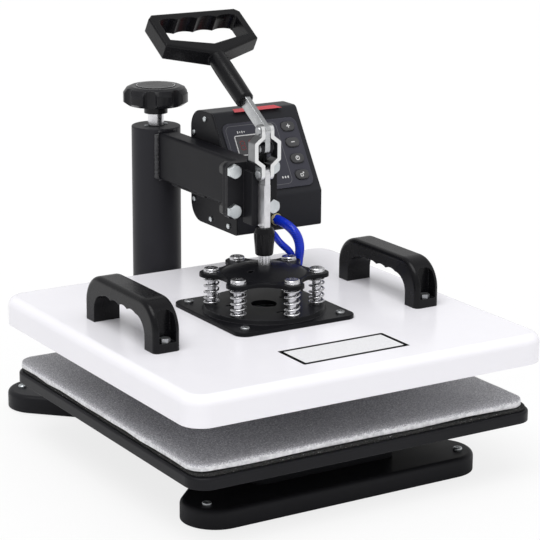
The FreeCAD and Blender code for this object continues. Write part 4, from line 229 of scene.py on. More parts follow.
def moulded(name, dark, light, rough, grain=1600.0, depth=0.00002, bevel=0.0010, coat=0.0):
    """Injection moulded plastic with a spark-eroded grain."""
    look = Look(name, rough=rough, specular=0.13, coat=coat, coat_rough=0.08, bevel=bevel)
    tone = look.ramp(look.noise(22.0, 4.0), [(0.3, dark), (0.72, light)])
    # edges lightened: partly rubbed wear, partly painted highlight
    look.colour(look.edge_wear_and_highlight(tone, 0.50, tuple(min(1.0, 3.0 * c + 0.09) for c in light)))
    look.roughness(look.ramp(look.noise(55.0, 5.0), [(0.3, rough - 0.02), (0.7, rough + 0.04)]))
    return look.bump(look.noise(grain, 3.0), depth).mat


def gloss_cover(name):
    """Glossy white moulding with a faint cool tint and a slow flow mottle."""
    look = Look(name, rough=0.2, specular=0.28, coat=0.08, coat_rough=0.05)
    dark, light = (0.852, 0.842, 0.886), (0.870, 0.860, 0.900)
    look.colour(look.ramp(look.noise(7.0, 3.0), [(0.25, dark), (0.75, light)]))
    look.roughness(look.ramp(look.noise(24.0, 4.0), [(0.3, 0.16), (0.7, 0.26)]))
    return look.bump(look.noise(40.0, 2.0), 0.00006).mat


def pad_top(name):
    """Grey non-stick face with a dense sparkling grain."""
    look = Look(name, rough=0.42, metal=0.25)
    grain = look.noise(760.0, 3.0, 0.75)
    tone = look.ramp(grain, [(0.36, (0.262, 0.260, 0.284)), (0.5, (0.535, 0.530, 0.575)), (0.64, 0.98)])
    cloud = look.ramp(look.noise(10.0, 4.0), [(0.3, 0.86), (0.7, 1.0)])
    look.colour(look.mix(1.0, tone, cloud, "MULTIPLY"))
    look.roughness(look.ramp(grain, [(0.35, 0.30), (0.65, 0.62)]))
    return look.bump(grain, 0.00012).mat


def pad_side(name):
    """Cut edge of the white silicone, slightly torn and dusty."""
    look = Look(name, rough=0.6)
    look.bsdf.inputs["Subsurface Weight"].default_value = 0.15
    look.bsdf.inputs["Subsurface Radius"].default_value = (0.002, 0.002, 0.002)
    torn, clean = (0.50, 0.50, 0.52), (0.78, 0.78, 0.80)
    look.colour(look.ramp(look.noise(260.0, 5.0), [(0.3, torn), (0.62, clean)]))
    return look.bump(look.noise(420.0, 4.0), 0.0003).mat


def foam_look(name):
    """Black open-cell foam with pale specks along the cut."""
    look = Look(name, rough=0.9, specular=0.2)
    cells = look.cells(620.0)
    speck = look.ramp(look.noise(750.0, 2.0), [(0.66, 0.0), (0.72, 1.0)])
    tone = look.ramp(cells, [(0.1, 0.006), (0.6, 0.03)])
    look.colour(look.mix(speck, tone, (0.42, 0.42, 0.42)))
    return look.bump(cells, 0.0004).mat


def rubber_look(name, dark, light):
    """Matt rubber with a chalky bloom."""
    look = Look(name, rough=0.75, specular=0.35, bevel=0.0005)
    look.colour(look.ramp(look.noise(45.0, 6.0), [(0.35, dark), (0.7, light)]))
    return look.bump(look.noise(900.0, 3.0), 0.00008).mat


def blanket_look(name):
    """Matted glass wool."""
    look = Look(name, rough=0.95, specular=0.15)
    fibre = look.noise(420.0, 6.0, 0.7, (1.0, 3.0, 1.0))
    look.colour(look.ramp(fibre, [(0.3, (0.55, 0.52, 0.40)), (0.7, (0.86, 0.84, 0.74))]))
    return look.bump(fibre, 0.001).mat


def bronze_look(name):
    """Oil-soaked sintered bronze."""
    look = Look(name, rough=0.4, metal=1.0, bevel=0.0003)
    pores = look.noise(1300.0, 3.0)
    look.colour(look.ramp(pores, [(0.3, (0.30, 0.19, 0.08)), (0.6, (0.66, 0.46, 0.22))]))
    return look.bump(pores, 0.00004).mat


def cast_look(name, dark, light, rough):
    """Sand cast and machined alloy."""
    look = Look(name, rough=rough, metal=0.9, bevel=0.0006)
    sand = look.noise(520.0, 4.0, 0.65)
    look.colour(look.ramp(sand, [(0.3, dark), (0.7, light)]))
    look.roughness(look.ramp(look.noise(80.0, 4.0), [(0.3, rough - 0.06), (0.7, rough + 0.1)]))
    return look.bump(sand, 0.00006).mat


def window_look(name):
    """Smoked display window."""
    look = Look(name, rough=0.08, coat=0.6, coat_rough=0.03)
    dark, light = (0.006, 0.006, 0.010), (0.018, 0.012, 0.018)
    look.colour(look.ramp(look.noise(30.0, 2.0), [(0.3, dark), (0.8, light)]))
    return look.bump(look.noise(160.0, 2.0), 0.00001).mat


def board_look(name):
    """Green laminate with copper tracks."""
    look = Look(name, rough=0.35, coat=0.3)
    tracks = look.ramp(look.cells(90.0, "DISTANCE_TO_EDGE"), [(0.03, 1.0), (0.06, 0.0)])
    look.colour(look.mix(tracks, (0.01, 0.16, 0.05), (0.07, 0.34, 0.12)))
    return look.bump(tracks, 0.0001).mat


def sleeve_look(name, dark, light):
    """Varnished glass braid over the cable: a fine diagonal weave, with painted shade in its grooves."""
    look = Look(name, rough=0.28, specular=0.25, coat=0.3, coat_rough=0.12)
    weave = look.node("ShaderNodeTexWave")
    weave.wave_type = "BANDS"
    weave.bands_direction = "DIAGONAL"
    weave.inputs["Scale"].default_value = 260.0
    weave.inputs["Distortion"].default_value = 2.5
    weave.inputs["Detail"].default_value = 2.0
    look.link(look.co, weave.inputs["Vector"])
    height = weave.outputs["Fac"]
    tone = look.mix(look.ramp(look.noise(120.0, 4.0), [(0.35, 0.0), (0.7, 0.6)]), dark, light)
    # painted shade: the weave's grooves coloured darker
    groove_shade = look.ramp(height, [(0.2, 0.55), (0.8, 0.0)])
    look.colour(look.mix(groove_shade, tone, tuple(0.35 * c for c in dark)))
    return look.bump(height, 0.00012).mat


def floor_look(name):
    """White studio paper with a barely visible tooth, and only a faint shadow for the camera."""
    look = Look(name, rough=0.9, specular=0.1)
    white = look.node("ShaderNodeEmission")
    white.inputs["Color"].default_value = (1, 1, 1, 1)
    white.inputs["Strength"].default_value = 1.0
    seen = look.node("ShaderNodeLightPath").outputs["Is Camera Ray"]
    blend = look.node("ShaderNodeMixShader")
    look.link(look.maths("MULTIPLY", seen, 0.80), blend.inputs[0])
    look.link(look.bsdf.outputs[0], blend.inputs[1])
    look.link(white.outputs[0], blend.inputs[2])
    look.link(blend.outputs[0], look.out.inputs[0])
    look.colour(look.ramp(look.noise(300.0, 3.0), [(0.3, 0.835), (0.7, 0.85)]))
    return look.bump(look.noise(900.0, 2.0), 0.00004).mat


def printed(name, colour, glow=0.0):
    """Screen printed ink with pinholes."""
    look = Look(name, rough=0.5)
    tooth = look.noise(1800.0, 3.0)
    ink = look.ramp(tooth, [(0.3, tuple(0.72 * c for c in colour)), (0.55, colour)])
    look.colour(ink)
    if glow:
        look.link(ink, look.bsdf.inputs["Emission Color"])
        look.bsdf.inputs["Emission Strength"].default_value = glow
    return look.bump(tooth, 0.00002).mat


ZINC_DARK = (0.50, 0.53, 0.55)
ZINC_LIGHT = (0.76, 0.79, 0.80)
BLACK = painted("black_powder_coat", (0.0150, 0.0150, 0.0172), (0.0166, 0.0166, 0.0190), 0.38)
# lighter copy of the black powder coat: painted light on the control box
BOX_PAINT_WITH_PAINTED_LIGHT = painted("box_coat_with_painted_light", (0.0215, 0.0218, 0.0255), (0.0235, 0.0238, 0.0275), 0.34,
                    bevel=0.0024)
# darker copy of the black powder coat: painted shade on the arm beam
ARM_PAINT_WITH_PAINTED_SHADE = painted("arm_coat_with_painted_shade", (0.0060, 0.0060, 0.0080), (0.0072, 0.0072, 0.0094), 0.38)
GRIP_LOOK = moulded("grip_moulding", (0.0044, 0.0044, 0.0054), (0.0056, 0.0056, 0.0066), 0.26,
                    1500.0, 0.00001, 0.0016, 0.08)
# darker copy of the black powder coat: painted shade on the hub and mount plate
HUB_PAINT_WITH_PAINTED_SHADE = painted("hub_coat_with_painted_shade", (0.0050, 0.0051, 0.0064), (0.0060, 0.0061, 0.0076), 0.36)
# lighter copy of the black powder coat: painted light on the post sleeve
POST_PAINT_WITH_PAINTED_LIGHT = painted("post_coat_with_painted_light", (0.0250, 0.0248, 0.0290), (0.0270, 0.0268, 0.0312), 0.38)
KNOB_LOOK = moulded("knob_moulding", (0.0120, 0.0120, 0.0138), (0.0140, 0.0140, 0.0160), 0.26,
                    1500.0, 0.00001, 0.0016, 0.12)
LOOKS = {
    "black_paint": BLACK,
    "zinc": plated("zinc_plating", ZINC_DARK, ZINC_LIGHT, 0.34, scale=420.0),
    "bright_steel": plated("bright_plating", (0.58, 0.58, 0.60), (0.86, 0.86, 0.88), 0.23,
                           (1.0, 1.0, 0.08), 900.0),
    "steel": plated("mild_steel", (0.28, 0.27, 0.26), (0.48, 0.47, 0.46), 0.4, scale=380.0),
    "cast_alloy": cast_look("cast_alloy", (0.42, 0.42, 0.44), (0.66, 0.66, 0.68), 0.42),
    "dark_plate": painted("dark_plate", (0.0120, 0.0120, 0.0138), (0.0136, 0.0136, 0.0156), 0.34, 900.0),
    "white_cover": gloss_cover("gloss_white"),
    "black_plastic": moulded("black_moulding", (0.0080, 0.0080, 0.0090), (0.0098, 0.0098, 0.0108), 0.34),
    "rubber": rubber_look("black_rubber", (0.010, 0.010, 0.010), (0.028, 0.028, 0.028)),
    "silicone": pad_side("silicone_body"),
    "foam": foam_look("black_foam"),
    "bronze": bronze_look("sintered_bronze"),
    "blanket": blanket_look("glass_wool"),
    "window": window_look("smoked_window"),
    "board": board_look("green_laminate"),
    "panel": moulded("panel_film", (0.0430, 0.0430, 0.0545), (0.0465, 0.0465, 0.0590), 0.45, 2600.0),
    "cable": sleeve_look("blue_braid", (0.0015, 0.028, 0.62), (0.004, 0.055, 0.95)),
    "knob_disc": moulded("gloss_disc", (0.008, 0.008, 0.009), (0.014, 0.014, 0.015), 0.24, 700.0, 0.00006),
}
PLUNGER_LOOK = plated("drawn_plunger", (0.62, 0.62, 0.64), (0.84, 0.84, 0.86), 0.38,
                      (1.0, 1.0, 0.05), 1200.0, 0.00003)
# darker copy of the zinc plating: painted shade, for the screws down in the handle pockets and for the pins
SHADED_ZINC = plated("zinc_with_painted_shade", (0.30, 0.31, 0.32), (0.50, 0.51, 0.52), 0.42, scale=420.0)
# weld bead coloured much lighter than the black paint around it: painted light
WELD_WITH_PAINTED_LIGHT = painted("weld_with_painted_light", (0.070, 0.070, 0.074), (0.110, 0.110, 0.114), 0.34, 600.0, 0.00006)
BUTTON_LOOK = moulded("button_rubber", (0.045, 0.045, 0.047), (0.075, 0.075, 0.078), 0.5,
                      1900.0, 0.00006)
BRUSHED = plated("brushed_lever", (0.36, 0.37, 0.38), (0.60, 0.61, 0.62), 0.27,
                 (0.25, 1.0, 1.0), 1100.0, 0.00004)
PAD_TOP = pad_top("pad_glitter")
INK_WHITE = printed("ink_white", (0.62, 0.62, 0.62))
INK_GREY = printed("ink_grey", (0.13, 0.13, 0.14))
SILVER_HIGHLIGHT = printed("painted_highlight_silver", (0.50, 0.50, 0.51))
INK_BLACK = printed("ink_black", (0.012, 0.012, 0.012))
INK_RED = printed("strip_red", (0.62, 0.03, 0.05))
FILM_WHITE = printed("label_film", (0.80, 0.80, 0.82))
DIGIT_RED = printed("digit_red", (0.16, 0.008, 0.012), 0.06)
STRANDS = printed("glass_strands", (0.50, 0.44, 0.26))
SPECIAL = {
    "box_shell": BOX_PAINT_WITH_PAINTED_LIGHT,
    "spring_hub": HUB_PAINT_WITH_PAINTED_SHADE,
    "mount_plate": HUB_PAINT_WITH_PAINTED_SHADE,
    "post_sleeve": POST_PAINT_WITH_PAINTED_LIGHT,
    "arm_beam": ARM_PAINT_WITH_PAINTED_SHADE,
    "lever_grip": GRIP_LOOK,
    "lock_knob": KNOB_LOOK,
    "left_handle": GRIP_LOOK,
    "right_handle": GRIP_LOOK,
    "pressure_sleeve": GRIP_LOOK,
    "lever_bar": BRUSHED,
    "plunger_bar": PLUNGER_LOOK,
    "cover_screws": SHADED_ZINC,
    "link_pins": SHADED_ZINC,
    "crank_pin": SHADED_ZINC,
    "plus_button": BUTTON_LOOK,
    "minus_button": BUTTON_LOOK,
    "timer_button": BUTTON_LOOK,
    "mode_button": BUTTON_LOOK,
}


def dress(obj, mat):
    """Give an object one material."""
    if obj.material_slots:
        for slot in obj.material_slots:
            slot.material = mat
    else:
        obj.data.materials.append(mat)


for node_name, node_obj in NODES.items():
    dress(node_obj, SPECIAL.get(node_name, LOOKS[SLOT_OF[node_name]]))
    node_obj.data.shade_smooth()
    node_obj.data.set_sharp_from_angle(angle=math.radians(CAD_CREASE))


def world_y_in(obj):
    """The world's Y direction in an object's own coordinates."""
    return (obj.matrix_world.inverted().to_3x3() @ Vector((0.0, 1.0, 0.0))).normalized()


def painted_behind(node_name, y, dark):
    """Bolt material whose far ends, behind a world Y, are painted with the arm."""
    obj = NODES[node_name]
    level = obj.matrix_world.inverted() @ Vector((0.0, y, 0.0))
    along = world_y_in(obj)
    look = Look(node_name + "_two_tone", metal=1.0, rough=0.34, bevel=PLATED_BEVEL)
    past = look.maths("GREATER_THAN", look.dot(look.co, along), level.dot(along))
    bloom = look.ramp(look.noise(60.0, 5.0), [(0.3, ZINC_DARK), (0.72, ZINC_LIGHT)])
    look.colour(look.mix(past, bloom, dark))
    look.link(look.ramp(past, [(0.4, 1.0), (0.6, 0.0)]), look.bsdf.inputs["Metallic"])
    look.bump(look.noise(420.0, 4.0), 0.00002)
    dress(obj, look.mat)


BOLT_PAINT_Y = -0.0160
painted_behind("bracket_bolts", BOLT_PAINT_Y, (0.012, 0.012, 0.013))


def bar_painted_by_facing(node_name):
    """Bent flat bar coloured by which way it faces: painted shade on the broad faces, and painted highlight
    on the edges that look along Y.
    """
    obj = NODES[node_name]
    look = Look(node_name + "_bar", metal=1.0, rough=0.34, bevel=PLATED_BEVEL)
    normal = look.node("ShaderNodeTexCoord").outputs["Normal"]
    size = look.maths("ABSOLUTE", look.dot(normal, world_y_in(obj)))
    # painted highlight on faces that look along world Y, painted shade on the others
    edge_highlight = look.ramp(size, [(0.45, 0.0), (0.75, 1.0)])
    dark, light = (0.18, 0.183, 0.188), (0.28, 0.285, 0.29)
    shaded_face_tone = look.ramp(look.noise(60.0, 5.0), [(0.3, dark), (0.72, light)])
    look.colour(look.mix(edge_highlight, shaded_face_tone, (0.76, 0.765, 0.77)))
    look.bump(look.noise(420.0, 4.0), 0.00002)
    dress(obj, look.mat)


for strap in ("left_link_strap", "right_link_strap"):
    bar_painted_by_facing(strap)


# mesh helpers

def add_mesh(name, verts, faces, mat, body, smooth=True):
    """New piece that rides on a body."""
    mesh = bpy.data.meshes.new(name)
    mesh.from_pydata([tuple(v) for v in verts], [], faces)
    mesh.validate()
    mesh.update()
    obj = bpy.data.objects.new(name, mesh)
    bpy.context.scene.collection.objects.link(obj)
    mesh.materials.append(mat)
    if smooth:
        mesh.shade_smooth()
        mesh.set_sharp_from_angle(angle=math.radians(MESH_CREASE))
    if body:
        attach(obj, body)
    return obj


def rect_loop(cx, cy, hx, hy, radius, steps=8, side_steps=12):
    """Rounded rectangle as a closed loop, anticlockwise."""
    pts = []
    corners = [(1, 1), (-1, 1), (-1, -1), (1, -1)]
    for k, (sx, sy) in enumerate(corners):
        ox = cx + sx * (hx - radius)
        oy = cy + sy * (hy - radius)
        for i in range(steps + 1):
            a = math.radians(90 * k + 90 * i / steps)
            pts.append((ox + radius * math.cos(a), oy + radius * math.sin(a)))
        nx, ny = corners[(k + 1) % 4]
        ex = cx + nx * (hx - radius)
        ey = cy + ny * (hy - radius)
        a = math.radians(90 * (k + 1))
        stop = (ex + radius * math.cos(a), ey + radius * math.sin(a))
        start = pts[-1]
        for i in range(1, side_steps):
            t = i / side_steps
            pts.append((start[0] + (stop[0] - start[0]) * t, start[1] + (stop[1] - start[1]) * t))
    return pts


def circle_loop(cx, cy, r):
    """Circle as a closed loop, anticlockwise."""
    turns = [math.tau * i / CIRCLE_STEPS for i in range(CIRCLE_STEPS)]
    return [(cx + r * math.cos(turn), cy + r * math.sin(turn)) for turn in turns]


def sag(x, y):
    """Slow uneven line of a hand-trimmed edge, from -1 to 1."""
    return (0.5 * math.sin(95 * y + 40 * x) + 0.3 * math.sin(160 * x - 60 * y + 1.3)
            + 0.2 * math.sin(230 * y + 2.0))


WAVE_SHARE = {1: 1.0, 2: 0.9, 3: 0.4}   # how much of the sag each level of a slab takes
MIN_CORNER_R = 0.0015


def slab(name, centre, half, radius, levels, mats, body, ripple=0.0, seed=1, top_from=0, low_to=0,
         wave=0.0):
    """Soft slab from (inset, z) levels, bottom to top, closed at both ends.

    Of several materials the second is for the bands from top_from up, and the third for those below low_to.
    """
    rng = random.Random(seed)
    verts = []
    count = 0
    for level, (inset, z) in enumerate(levels):
        r = max(MIN_CORNER_R, radius - inset)
        loop = rect_loop(centre[0], centre[1], half[0] - inset, half[1] - inset, r)
        count = len(loop)
        for x, y in loop:
            d = rng.uniform(-ripple, ripple)
            lift = wave * WAVE_SHARE.get(level, 0.0) * sag(x, y)
            verts.append((x + d, y + d * 0.7, z + d * 0.25 + lift))
    faces = [tuple(reversed(range(count)))]
    marks = [0]
    for k in range(len(levels) - 1):
        for i in range(count):
            a = k * count + i
            b = k * count + (i + 1) % count
            faces.append((a, b, b + count, a + count))
            marks.append(1 if k >= top_from else (2 if k < low_to else 0))
    last = (len(levels) - 1) * count
    faces.append(tuple(range(last, last + count)))
    marks.append(1)
    obj = add_mesh(name, verts, faces, mats[0], None)
    if len(mats) > 1:
        for extra in mats[1:]:
            obj.data.materials.append(extra)
        for poly, mark in zip(obj.data.polygons, marks):
            poly.material_index = mark
    obj.data.shade_smooth()
    obj.data.set_sharp_from_angle(angle=math.radians(SLAB_CREASE))
    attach(obj, body)
    return obj


def film(name, loops, mat, body):
    """Printed film from its low and top outlines, and its hole's low and top outlines if it has one."""
    n = len(loops[0])
    verts = [v for loop in loops for v in loop]
    if len(loops) == 2:
        faces = [tuple(reversed(range(n))), tuple(range(n, 2 * n))]
        faces += [(i, (i + 1) % n, n + (i + 1) % n, n + i) for i in range(n)]
        return add_mesh(name, verts, faces, mat, body, smooth=False)
    faces = []
    for i in range(n):
        j = (i + 1) % n
        faces += [(i, j, n + j, n + i), (n + i, n + j, 3 * n + j, 3 * n + i),
                  (2 * n + j, 2 * n + i, 3 * n + i, 3 * n + j), (j, i, 2 * n + i, 2 * n + j)]
    return add_mesh(name, verts, faces, mat, body, smooth=False)


def flat_print(name, outline, z, mat, body, hole=None):
    """Printed film on a level face; outline in metres."""
    loops = [[(x, y, level) for x, y in loop]
             for loop in (outline, hole) if loop for level in (z, z + INK)]
    return film(name, loops, mat, body)


# the control box's sloped face: its run and rise, and its middle in metres
SLOPE_RUN, SLOPE_RISE = 49.0, 77.0
SLOPE_X, SLOPE_Y, SLOPE_Z = 0.0635, 0.0561, 0.284


def slope_point(x, up, out):
    """Point on the sloped face, from its middle, in metres."""
    norm = math.hypot(SLOPE_RUN, SLOPE_RISE)
    uy, uz = SLOPE_RUN / norm, SLOPE_RISE / norm
    return Vector((SLOPE_X + x, SLOPE_Y + uy * up - uz * out, SLOPE_Z + uz * up + uy * out))


def slope_print(name, outline, base, mat, body="arm", hole=None):
    """Printed film on the sloped face; outline in millimetres from the face's middle."""
    loops = [[slope_point(x / 1000, y / 1000, level) for x, y in loop]
             for loop in (outline, hole) if loop for level in (base, base + INK)]
    return film(name, loops, mat, body)


def rounded(cx, cy, w, h, r, steps=6):
    """Rounded rectangle outline from its middle and full size."""
    return rect_loop(cx, cy, w / 2, h / 2, r, steps, 1)


# camera

cam_data = bpy.data.cameras.new("camera")
cam_data.sensor_width = 36.0
cam_data.sensor_fit = "HORIZONTAL"
cam_data.lens = 138.33
cam_data.clip_end = 30.0
camera = bpy.data.objects.new("camera", cam_data)
bpy.context.scene.collection.objects.link(camera)
camera_right = Vector((0.8514, -0.52449, 0.00558))
camera_up = Vector((0.13257, 0.22547, 0.96519))
camera_back = Vector((-0.50749, -0.82102, 0.2615))
camera_place = Vector((-1.03373, -1.72542, 0.72737))
basis = Matrix((camera_right, camera_up, camera_back)).transposed().to_4x4()
camera.matrix_world = Matrix.Translation(camera_place) @ basis
bpy.context.scene.camera = camera

# platen cables, the first pieces made

# radius and spline points of each cable, from its gland down to its grommet
ROUTES = {
    "heater_cable": (0.0050, [(0.057, 0.0296, 0.222), (0.057, 0.004, 0.222), (0.0635, -0.010, 0.206),
                             (0.060, -0.009, 0.178), (0.060, -0.009, 0.155)]),
    "sensor_cable": (0.0036, [(0.047, 0.0296, 0.2125), (0.047, 0.017, 0.211), (0.0445, 0.002, 0.205),
                              (0.0565, -0.0055, 0.193), (0.060, 0.0005, 0.178), (0.060, 0.0005, 0.155)]),
}
GROMMET_SQUEEZE = (0.83, 0.82)   # share of the radius left at the last two points


def cable_curve(name, radius, points):
    """Smooth spline tube along a route, drawn in where it enters its grommet."""
    data = bpy.data.curves.new(name, "CURVE")
    data.dimensions = "3D"
    spline = data.splines.new("NURBS")
    spline.points.add(len(points) - 1)
    for point, place in zip(spline.points, points):
        point.co = (*place, 1.0)
    for point, squeeze in zip(spline.points[-2:], GROMMET_SQUEEZE):
        point.radius = squeeze
    spline.order_u = 3
    spline.use_endpoint_u = True
    data.resolution_u = 24
    data.bevel_depth = radius
    data.bevel_resolution = 6
    data.use_fill_caps = True
    obj = bpy.data.objects.new(name, data)
    bpy.context.scene.collection.objects.link(obj)
    data.materials.append(LOOKS["cable"])
    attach(obj, "arm")
    return obj


for cable_name, (cable_r, route) in ROUTES.items():
    cable = cable_curve(cable_name + "_lead", cable_r, route)
    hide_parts(cable_name)

# soft pads on the lower plate and inside the platen

pad_low, pad_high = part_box("silicone_pad")
foam_low, foam_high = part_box("foam_sheet")
pad_mid = (pad_low + pad_high) / 2
pad_half = (pad_high - pad_low) / 2
foam_mid = (foam_low + foam_high) / 2
foam_half = (foam_high - foam_low) / 2
# inset from the pad's edge and height over its underside, from the bottom up
PAD_LEVELS = [(0.0012, 0.0), (0.0006, 0.0014), (0.0, 0.0020), (0.0001, 0.0036), (0.0004, 0.0056),
              (0.0009, 0.0066), (0.0022, 0.0072), (0.0060, 0.0074), (0.0200, 0.00745), (0.0600, 0.0075)]
pad = slab("pad_body", (pad_mid.x, pad_mid.y), (pad_half.x, pad_half.y), 0.018,
           [(inset, pad_low.z + rise) for inset, rise in PAD_LEVELS],
           [LOOKS["silicone"], PAD_TOP, LOOKS["foam"]], "base",
           ripple=0.00022, seed=5, top_from=4, low_to=1, wave=0.0011)
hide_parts("silicone_pad")
foam = slab("foam_body", (foam_mid.x, foam_mid.y), (foam_half.x, foam_half.y), 0.017,
            [(0.0008, foam_low.z + 0.00005), (0.0, foam_low.z + 0.0010), (0.0, foam_low.z + 0.0020),
             (0.0008, foam_high.z - 0.00005)], [LOOKS["foam"]], "base", ripple=0.00035, seed=8)
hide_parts("foam_sheet")


def blanket():
    """Soft insulation pad with rounded edges and clearance holes."""
    low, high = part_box("insulation_pad")
    data = bpy.data.curves.new("blanket_outline", "CURVE")
    data.dimensions = "2D"
    data.fill_mode = "BOTH"
    edge = 0.004        # radius of the soft edges
    ripple = 0.0005
    slack = 0.0006      # room for the ripple above and below
    hole_r = 0.0095
    hole_steps = 20
    data.bevel_depth = edge
    data.bevel_resolution = 3
    data.extrude = (high.z - low.z) / 2 - edge - slack
    mid = (low + high) / 2
    half = (high - low) / 2
    outline = rect_loop(0, 0, half.x - edge, half.y - edge, 0.016, 6, 20)
    loops = [outline]
    for k in range(6):
        place = math.radians(30 + 60 * k)
        x = SPRING_CIRCLE_R * math.cos(place)
        y = PRESS_Y - mid.y + SPRING_CIRCLE_R * math.sin(place)
        r = hole_r + edge
        turns = [math.tau * i / hole_steps for i in range(hole_steps)]
        loops.append([(x + r * math.cos(turn), y - r * math.sin(turn)) for turn in turns])
    for loop in loops:
        spline = data.splines.new("POLY")
        spline.points.add(len(loop) - 1)
        for point, (x, y) in zip(spline.points, loop):
            point.co = (x, y, 0.0, 1.0)
        spline.use_cyclic_u = True
    outline_obj = bpy.data.objects.new("blanket_outline", data)
    bpy.context.scene.collection.objects.link(outline_obj)
    bpy.context.view_layer.update()
    mesh = bpy.data.meshes.new_from_object(outline_obj)
    bpy.data.objects.remove(outline_obj)
    rng = random.Random(3)
    for vertex in mesh.vertices:
        vertex.co += Vector((mid.x, mid.y, mid.z))
        vertex.co.z += rng.uniform(-ripple, ripple)
    obj = bpy.data.objects.new("blanket_body", mesh)
    bpy.context.scene.collection.objects.link(obj)
    mesh.materials.clear()
    mesh.materials.append(LOOKS["blanket"])
    mesh.shade_smooth()
    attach(obj, "platen")
    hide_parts("insulation_pad")


blanket()


def coil_springs():
    """The six springs as one piece that rides on the platen."""
    source = NODES["pressure_springs"]
    mesh = source.data.copy()
    mesh.transform(source.matrix_world)
    obj = bpy.data.objects.new("coil_springs", mesh)
    bpy.context.scene.collection.objects.link(obj)
    dress(obj, LOOKS["bright_steel"])
    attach(obj, "platen")
    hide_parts("pressure_springs")
    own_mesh(obj)


coil_springs()

# prints and generic signs on the control box

PANEL_TOP = 0.0015    # heights over the sloped face
KEY_TOP = 0.0033
WINDOW_TOP = 0.0013


def frame_print(name, cx, cy, w, h, r, line, base, mat, body="arm"):
    """Thin printed line around a rounded rectangle."""
    outer = rounded(cx, cy, w, h, r)
    inner = rounded(cx, cy, w - 2 * line, h - 2 * line, r - line)
    return slope_print(name, outer, base, mat, body, hole=inner)


def bar_print(name, cx, cy, w, h, base, mat, body="arm"):
    """Small printed bar with rounded ends."""
    return slope_print(name, rounded(cx, cy, w, h, 0.45 * min(w, h), 3), base, mat, body)


frame_print("panel_outline", -11.0, -0.5, 61.0, 69.0, 6.0, 0.45, PANEL_TOP, INK_GREY)
frame_print("window_frame", -10.5, 12.0, 46.5, 22.5, 2.6, 1.1, PANEL_TOP, INK_WHITE)
for k in range(4):
    mark_h, tick_h = (1.7, 2.8) if k % 2 else (2.8, 1.7)
    bar_print("scale_mark_%d" % (k + 1), -28.0 + 2.6 * k, 26.6, 1.2, mark_h, PANEL_TOP, INK_WHITE)
    bar_print("scale_tick_%d" % (k + 1), 1.0 + 2.6 * k, 26.6, 1.2, tick_h, PANEL_TOP, INK_WHITE)
frame_print("dial_sign", -25.5, -6.5, 6.0, 6.0, 2.9, 0.9, PANEL_TOP, INK_WHITE)
bar_print("dial_hand", -25.5, -5.6, 0.9, 2.6, PANEL_TOP, INK_WHITE)
bar_print("sign_rule", -16.0, -6.5, 8.0, 1.1, PANEL_TOP, INK_WHITE)
for k in range(3):
    bar_print("foot_mark_%d" % (k + 1), 9.0 + 3.2 * k, -27.5, 1.6, 2.6, PANEL_TOP, INK_WHITE)

KEY_X = 32.2
PLUS_Y, MINUS_Y, TIMER_Y, MODE_Y = 27.0, 9.0, -9.0, -27.0
bar_print("plus_sign_across", KEY_X, PLUS_Y, 4.6, 1.1, KEY_TOP, INK_WHITE, "plus_key")
bar_print("plus_sign_up", KEY_X, PLUS_Y, 1.1, 4.6, KEY_TOP + INK, INK_WHITE, "plus_key")
bar_print("minus_sign", KEY_X, MINUS_Y, 4.6, 1.1, KEY_TOP, INK_WHITE, "minus_key")
frame_print("ring_sign", KEY_X, TIMER_Y, 5.0, 5.0, 2.45, 0.9, KEY_TOP, INK_WHITE, "timer_key")
bar_print("ring_hand", KEY_X, TIMER_Y + 0.6, 0.8, 1.9, KEY_TOP, INK_WHITE, "timer_key")
frame_print("square_sign", KEY_X - 0.9, MODE_Y - 0.9, 3.6, 3.6, 0.9, 0.8, KEY_TOP, INK_WHITE, "mode_key")
bar_print("square_dot", KEY_X + 1.5, MODE_Y + 1.5, 1.8, 1.8, KEY_TOP, INK_WHITE, "mode_key")

FIGURE_W, FIGURE_H, BAR = 5.0, 9.5, 0.8


def figure(name, cx, cy):
    """The seven bars of one figure on the display window, all lit."""
    across, upright = (FIGURE_W - BAR, BAR), (BAR, FIGURE_H / 2 - BAR)
    left, right = cx - FIGURE_W / 2, cx + FIGURE_W / 2
    high, low = cy + FIGURE_H / 4, cy - FIGURE_H / 4
    bars = {
        "a": (cx, cy + FIGURE_H / 2, *across), "b": (right, high, *upright), "c": (right, low, *upright),
        "d": (cx, cy - FIGURE_H / 2, *across), "e": (left, low, *upright), "f": (left, high, *upright),
        "g": (cx, cy, *across),
    }
    for key, (x, y, w, h) in bars.items():
        bar_print("%s_%s" % (name, key), x, y, w, h, WINDOW_TOP, DIGIT_RED)


for k in range(4):
    figure("figure_%d" % (k + 1), -26.0 + 10.4 * k, 12.0)

# bare plate on the cover, strip on the box, and a painted highlight ring on the knob

LABEL_Y = -0.1855
cover_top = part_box("platen_cover")[1].z
box_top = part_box("box_shell")[1].z
flat_print("bare_plate", rect_loop(0.0, LABEL_Y, 0.0580, 0.0225, 0.0012, 4, 1), cover_top, FILM_WHITE,
           "platen")
flat_print("bare_plate_border", rect_loop(0.0, LABEL_Y, 0.0590, 0.0235, 0.0012, 4, 1), cover_top, INK_BLACK,
           "platen", hole=rect_loop(0.0, LABEL_Y, 0.0548, 0.0193, 0.0008, 4, 1))
flat_print("box_strip", [(0.037, 0.0775), (0.094, 0.0775), (0.094, 0.094), (0.044, 0.094)], box_top,
           INK_RED, "arm")
disc_low, disc_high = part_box("knob_disc")
disc_mid = (disc_low + disc_high) / 2
disc_r = (disc_high.x - disc_low.x) / 2
# thin silver ring on the knob's top: a painted highlight
flat_print("knob_highlight_ring", circle_loop(disc_mid.x, disc_mid.y, disc_r - 0.0004), disc_high.z, SILVER_HIGHLIGHT, "knob",
           hole=circle_loop(disc_mid.x, disc_mid.y, disc_r - 0.0010))

# welds and cable ends

BEAD_STEP = 0.0008
BEAD_JITTER = 0.0002


